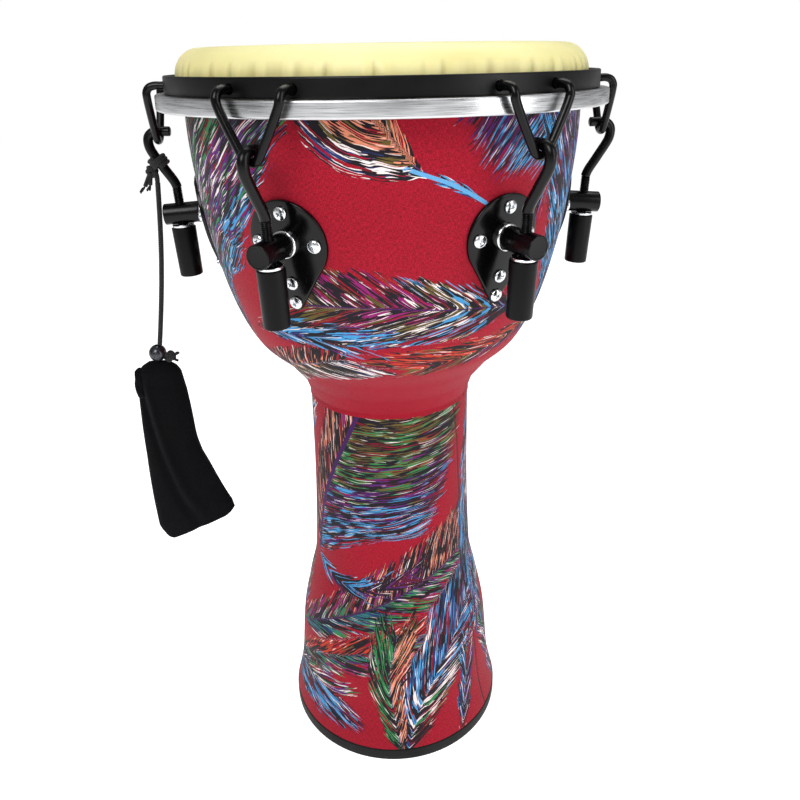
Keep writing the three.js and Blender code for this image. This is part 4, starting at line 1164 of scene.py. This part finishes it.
def make_claw():
    """A wire bent round the rod's hook, both its ends going through the band to a flat head."""
    seat_radius, plane = 7.15, 176.6
    side, top = HOLE_SIDE, HOLE_HEIGHT
    corner = (side, top - 8)
    rise = corner[1] - HOOK_HEIGHT
    lean = math.atan2(rise, corner[0]) - math.acos(seat_radius / math.hypot(corner[0], rise))
    leg = [(side, 158.0, top), (side, 165, top), (side, 170.6, top), (side, 174.4, top - 1.4),
           (side - 0.2, 176.4, top - 4.6), (corner[0] - 0.6, plane, corner[1])]
    seat = [(seat_radius * math.cos(a), plane, HOOK_HEIGHT + seat_radius * math.sin(a))
            for a in np.linspace(lean, -math.pi - lean, 9)]
    path = [lug_spot(*p) for p in [*leg, *seat, *[(-x, r, z) for x, r, z in leg[::-1]]]]
    wire = tube("wire", smooth_path(path, 9), WIRE_RADIUS, 24, 0.5)
    button = rounded([(0, 0), (4.2, 0), (4.2, 1.6), (0, 1.6)], [0, 0.5, 0.5, 0], 4)
    heads = [aimed(lathe("button", button, 32), lug_spot(x, 157.6, top), (0, -1, 0)) for x in (-side, side)]
    return joined("hook_wire", [wire, *heads], 50)


def make_rod():
    """A rod that goes up from its post, swings outwards and ends in a hook, with a thread down through the nut."""
    throw, turn_radius = 184.8, 7
    bend = [(throw - turn_radius + turn_radius * math.cos(a), HOOK_HEIGHT - turn_radius + turn_radius * math.sin(a))
            for a in np.radians([0, 30, 60, 90])]
    low, high = on_rod(22.5), (throw - 1, HOOK_HEIGHT - 13.3)
    middle = ((-low[1] + high[0]) / 2, (low[2] + high[1]) / 2)
    points = [on_rod(0), on_rod(13.5), low, lug_spot(0, *middle), lug_spot(0, *high)]
    points += [lug_spot(0, *p) for p in [*bend, (throw - 17.8, HOOK_HEIGHT)]]
    path = smooth_path(points, 14)
    path = path[(path - on_rod(0)) @ rod_up > 20.0]
    smooth = tube("bar", path, ROD_RADIUS, 28, 0.9)

    def thread(length, angle):
        turn = (length / THREAD_PITCH - angle / TURN) % 1
        return -0.75 * (1 - np.abs(2 * turn - 1)) ** 1.2 + 0.05

    threaded = tube("thread", np.linspace(on_rod(-36), on_rod(20.6), 360), ROD_RADIUS, 18, 0.8, thread, 70)
    return joined("rod", [smooth, threaded], 60)


def teardrop(radius, tip):
    """Outline of a large circle and a small one below it, joined by their common tangents."""
    lean = math.asin((radius - tip) / TIP_DROP)
    outline = []
    for r, height, first, last, count in ((radius, LUG_CENTRE, -lean, math.pi + lean, 90),
                                          (tip, LUG_CENTRE - TIP_DROP, math.pi + lean, TURN - lean, 30)):
        outline += [(r * math.cos(a), height + r * math.sin(a)) for a in np.linspace(first, last, count)]
    outline = np.array(outline + outline[:1])
    steps = lengths_along(outline)
    at = np.linspace(0, steps[-1], PLATE_POINTS + 1)[:-1]
    return np.stack([np.interp(at, steps, outline[:, k]) for k in (0, 1)], -1)


def wall_plate(name, radius, tip, inner, outer, round_off=0.9):
    """A teardrop plate bent to the bowl's wall, between two distances outside the cloth."""
    middle = np.array([0, LUG_CENTRE - 6])
    rings = [(teardrop(radius, tip) * s + middle * (1 - s), inner) for s in (0, 0.35, 0.7, 0.95)]
    rings += [(teardrop(radius - d, tip - d), inner + h) for d, h in ((0.3, 0), (0, 0.3))]
    for a in np.linspace(0, math.pi / 2, 6):
        d = round_off * (1 - math.cos(a))
        rings.append((teardrop(radius - d, tip - d), outer - round_off * (1 - math.sin(a))))
    edge = teardrop(radius - round_off, tip - round_off)
    rings += [(edge * s + middle * (1 - s), outer) for s in (0.93, 0.8, 0.65, 0.5, 0.35, 0.2, 0)]
    points = []
    for flat, off in rings:
        r = wall_radius(flat[:, 1], off)
        points.append(np.stack([flat[:, 0], -np.sqrt(r**2 - flat[:, 0] ** 2), flat[:, 1]], -1))
    faces = grid(len(points), PLATE_POINTS)[0]
    return weld(mesh_object(name, np.array(points).reshape(-1, 3), faces, None, 40), 40, recalculate=True)


def make_post():
    """A post that goes out through the plate, thick where the rod passes, with a dished end."""
    seat, end = -14.9, 12.9
    outline = [(0, -36), (5, -36), (5, seat), (POST_RADIUS, seat), (POST_RADIUS, end), (7.1, end), (6.9, 12.55),
               (0, 12.55)]
    body = lathe("post", rounded(outline, [0, 0.4, 0, 0.5, 0.7, 0.15, 0.1, 0], 5), 72)
    aimed(body, on_post(0), post_out)
    hole = tube("hole", np.linspace(on_rod(-14), on_rod(14), 3), ROD_RADIUS + 0.45, 40, 0.001)
    return cut(body, hole, crease=35)


def make_nut():
    """A long closed nut, slightly tapered, with a hex socket in its low end."""
    low, top, depth = -51.6, -11.1, -43.1
    outline = [(0, low), (9.1, low), (9.6, top), (4.3, top), (4.3, depth), (0, depth)]
    body = lathe("nut", rounded(outline, [0, 1.6, 0.8, 0.5, 0.3, 0], 6), 72)
    socket = lathe("socket", [(0, low - 2), (4, low - 2), (4, low + 5.5), (0, low + 5.5)], 6)
    return cut(aimed(body, on_rod(0), rod_up), aimed(socket, on_rod(0), rod_up), crease=35)


def make_ring(name, inner, outer, low, high, soft, place, direction):
    outline = rounded([(inner, low), (outer, low), (outer, high), (inner, high)], soft, 5)
    return aimed(lathe(name, outline, 72), place, direction)


def screw_head():
    """A pan head with a cross recess, its seat at the origin and its top towards +Z."""
    dome = [(SCREW_HEAD * math.cos(a), 0.7 + 1.9 * math.sin(a)) for a in np.linspace(0, math.pi / 2, 9)]
    head = lathe("pan_head", rounded([(0, -0.3), (SCREW_HEAD, -0.3), *dome], [0, 0.3, 0.2] + [0] * 8, 3), 40)
    slots = []
    for k in (0, 1):
        bm = bmesh.new()
        bmesh.ops.create_cube(bm, size=1)
        bmesh.ops.scale(bm, vec=(0.0052, 0.00115, 0.0026), verts=bm.verts)
        for v in bm.verts:
            if v.co.z < 0:
                v.co.x *= 0.35
        bmesh.ops.translate(bm, vec=(0, 0, 0.0022), verts=bm.verts)
        turn = Matrix.Rotation(k * math.pi / 2, 3, "Z")
        bmesh.ops.rotate(bm, cent=(0, 0, 0), matrix=turn, verts=bm.verts)
        mesh = bpy.data.meshes.new("slot")
        bm.to_mesh(mesh)
        bm.free()
        slots.append(linked("slot", mesh))
    return cut(head, *slots, crease=30)


def set_screws(seats, head):
    """Puts a screw head on every seat, pointing out of the wall, each turned by its own amount."""
    tree = bpy.data.node_groups.new("Set screws", "GeometryNodeTree")
    kinds = {"Seats": "Geometry", "Head": "Object", "Size": "Float", "Seed": "Int", "Finish": "Material"}
    for label, kind in kinds.items():
        tree.interface.new_socket(label, in_out="INPUT", socket_type="NodeSocket" + kind)
    tree.interface.new_socket("Screws", in_out="OUTPUT", socket_type="NodeSocketGeometry")
    source, result = tree.nodes.new("NodeGroupInput"), tree.nodes.new("NodeGroupOutput")
    given = source.outputs
    way = add(tree, "GeometryNodeInputNamedAttribute", {"Name": "way"}, data_type="FLOAT_VECTOR")
    turn = add(tree, "FunctionNodeAlignRotationToVector", {"Vector": way}, axis="Z")
    spin = {"Min": 0.0, "Max": TURN, "Seed": given["Seed"]}
    spin = add(tree, "FunctionNodeRandomValue", spin, out="Value", data_type="FLOAT")
    spin = add(tree, "ShaderNodeCombineXYZ", {"Z": spin})
    spin = add(tree, "FunctionNodeEulerToRotation", [spin])
    turn = add(tree, "FunctionNodeRotateRotation", {"Rotation": turn, "Rotate By": spin}, rotation_space="LOCAL")
    shape = add(tree, "GeometryNodeObjectInfo", {"Object": given["Head"]}, out="Geometry")
    placing = {"Points": given["Seats"], "Instance": shape, "Rotation": turn, "Scale": given["Size"]}
    put_on = add(tree, "GeometryNodeInstanceOnPoints", placing)
    real = add(tree, "GeometryNodeRealizeInstances", {"Geometry": put_on})
    done = add(tree, "GeometryNodeSetMaterial", {"Geometry": real, "Material": given["Finish"]})
    tree.links.new(done, result.inputs[0])
    modifier = seats.modifiers.new("screws", "NODES")
    modifier.node_group = tree
    values = {"Head": head, "Size": 1.0, "Seed": 7, "Finish": LOOKS["screw"]}
    for item in tree.interface.items_tree:
        if item.in_out == "INPUT" and item.name in values:
            modifier[item.identifier] = values[item.name]
    bake(seats)
    bpy.data.objects.remove(head)
    return shaded(seats, 30)


SCREW_SPOTS = [(0, 21), (-21.6, 0), (21.6, 0), (0, -28), (0, -42.5)]  # across and above a lug's centre
PLATE_FACE = 2.9  # the plate's outside, above the cloth
SCREW_SEAT = 3.1
seats, ways = [], []
for azimuth in LUGS:
    for across, rise in SCREW_SPOTS:
        height = LUG_CENTRE + rise
        normal, radius = wall_normal(height), float(np.interp(height, WALL_Z, WALL_R))
        lean = math.asin(across / (radius + PLATE_FACE))
        way = np.array([normal[0] * math.sin(lean), -normal[0] * math.cos(lean), normal[1]])
        wall = np.array([radius * math.sin(lean), -radius * math.cos(lean), height])
        seats.append(around(wall + way * SCREW_SEAT, azimuth))
        ways.append(around(way, azimuth))
seat_mesh = bpy.data.meshes.new("lug_screw_heads")
seat_mesh.from_pydata((np.array(seats) * MM).tolist(), [], [])
seat_mesh.attributes.new("way", "FLOAT_VECTOR", "POINT").data.foreach_set("vector", np.array(ways, np.float32).ravel())
screws = set_screws(linked("lug_screw_heads", seat_mesh), screw_head())
put(screws, None, "drum", [f"lug_screws_{k}" for k in range(1, 7)])

COLLAR_ENDS, WASHER_ENDS = (-19.6, -15.2), (-10.8, -8.8)
collar = make_ring("collar", 5.4, 9.7, *COLLAR_ENDS, [0.3, 0.4, 1.6, 0.5], on_post(0), post_out)
washer = make_ring("thrust_washer", 4.4, 8.7, *WASHER_ENDS, [0.3, 0.5, 0.5, 0.3], on_rod(0), rod_up)
sources = [
    # (source, finish, body, replaced node, slot)
    (make_claw(), "black", "hoops", "claw_{}", "black_steel"),
    (make_rod(), "black", "rod_{}", "tension_rod_{}", "black_steel"),
    (wall_plate("plate", 29.5, TIP_RADIUS, 0.3, PLATE_FACE), "plate", "drum", "lug_plate_{}", "black_steel"),
    (wall_plate("backing", 26.5, TIP_RADIUS, -9.5, -7.0, 0.4), "bright", "drum", "lug_screws_{}", "screw_steel"),
    (make_post(), "black", "drum", "lug_post_{}", "black_steel"),
    (collar, "bright", "drum", "post_ring_{}", "bright_steel"),
    (washer, "bright", "drum", "washer_{}", "bright_steel"),
    (make_nut(), "nut", "nut_{}", "tuning_nut_{}", "black_nut"),
]
for source, finish, body, node, slot in sources:
    for k, azimuth in enumerate(LUGS, 1):
        piece = turned_copy(source, f"{source.name}_{k}", azimuth)
        put(piece, LOOKS[finish], body.format(k), [node.format(k)])
    bpy.data.objects.remove(source)

# ---- Studio --------------------------------------------------------------------------------------
world = bpy.data.worlds.new("studio")
bpy.context.scene.world = world
world.use_nodes = True
# The backdrop looks white to the camera, and lights the drum with under a third of that.
seen = add(world.node_tree, "ShaderNodeLightPath", out="Is Camera Ray")
backdrop = world.node_tree.nodes["Background"]
backdrop.inputs["Color"].default_value = (1, 1, 1, 1)
world.node_tree.links.new(between(world.node_tree, seen, 0, 1, 0.3, 1.0), backdrop.inputs["Strength"])


def soft_box(name, place, size, power, target=(0, 0, 0.35)):
    data = bpy.data.lights.new(name, "AREA")
    data.shape, data.size, data.size_y, data.energy = "RECTANGLE", size[0], size[1], power
    lamp = linked(name, data)
    lamp.location = place
    lamp.rotation_euler = (Vector(target) - Vector(place)).to_track_quat("-Z", "Y").to_euler()


soft_box("key", (-0.7, -1.3, 1.6), (0.9, 0.9), 22)
soft_box("fill", (1.3, -1.0, 0.9), (0.8, 1.4), 12)
soft_box("top", (0.2, 0.5, 1.9), (1.4, 1.0), 13)

floor_mesh = bpy.data.meshes.new("floor")
floor_mesh.from_pydata([(-6, -6, 0), (6, -6, 0), (6, 6, 0), (-6, 6, 0)], [], [(0, 1, 2, 3)])
floor = linked("floor", floor_mesh)
paper, tree, shader = look("pale paper", Roughness=0.9, Emission_Color=(1, 1, 1, 1), Emission_Strength=0.72)
fibres = grain(tree, place_of(tree), 300, 2.0)
fibres = ramp(tree, fibres, [(0.4, (250, 250, 250)), (0.6, (254, 254, 254))])
tree.links.new(fibres, shader.inputs["Base Color"])
floor.data.materials.append(paper)
bpy.context.scene.view_settings.view_transform = "Standard"

bpy.context.view_layer.update()
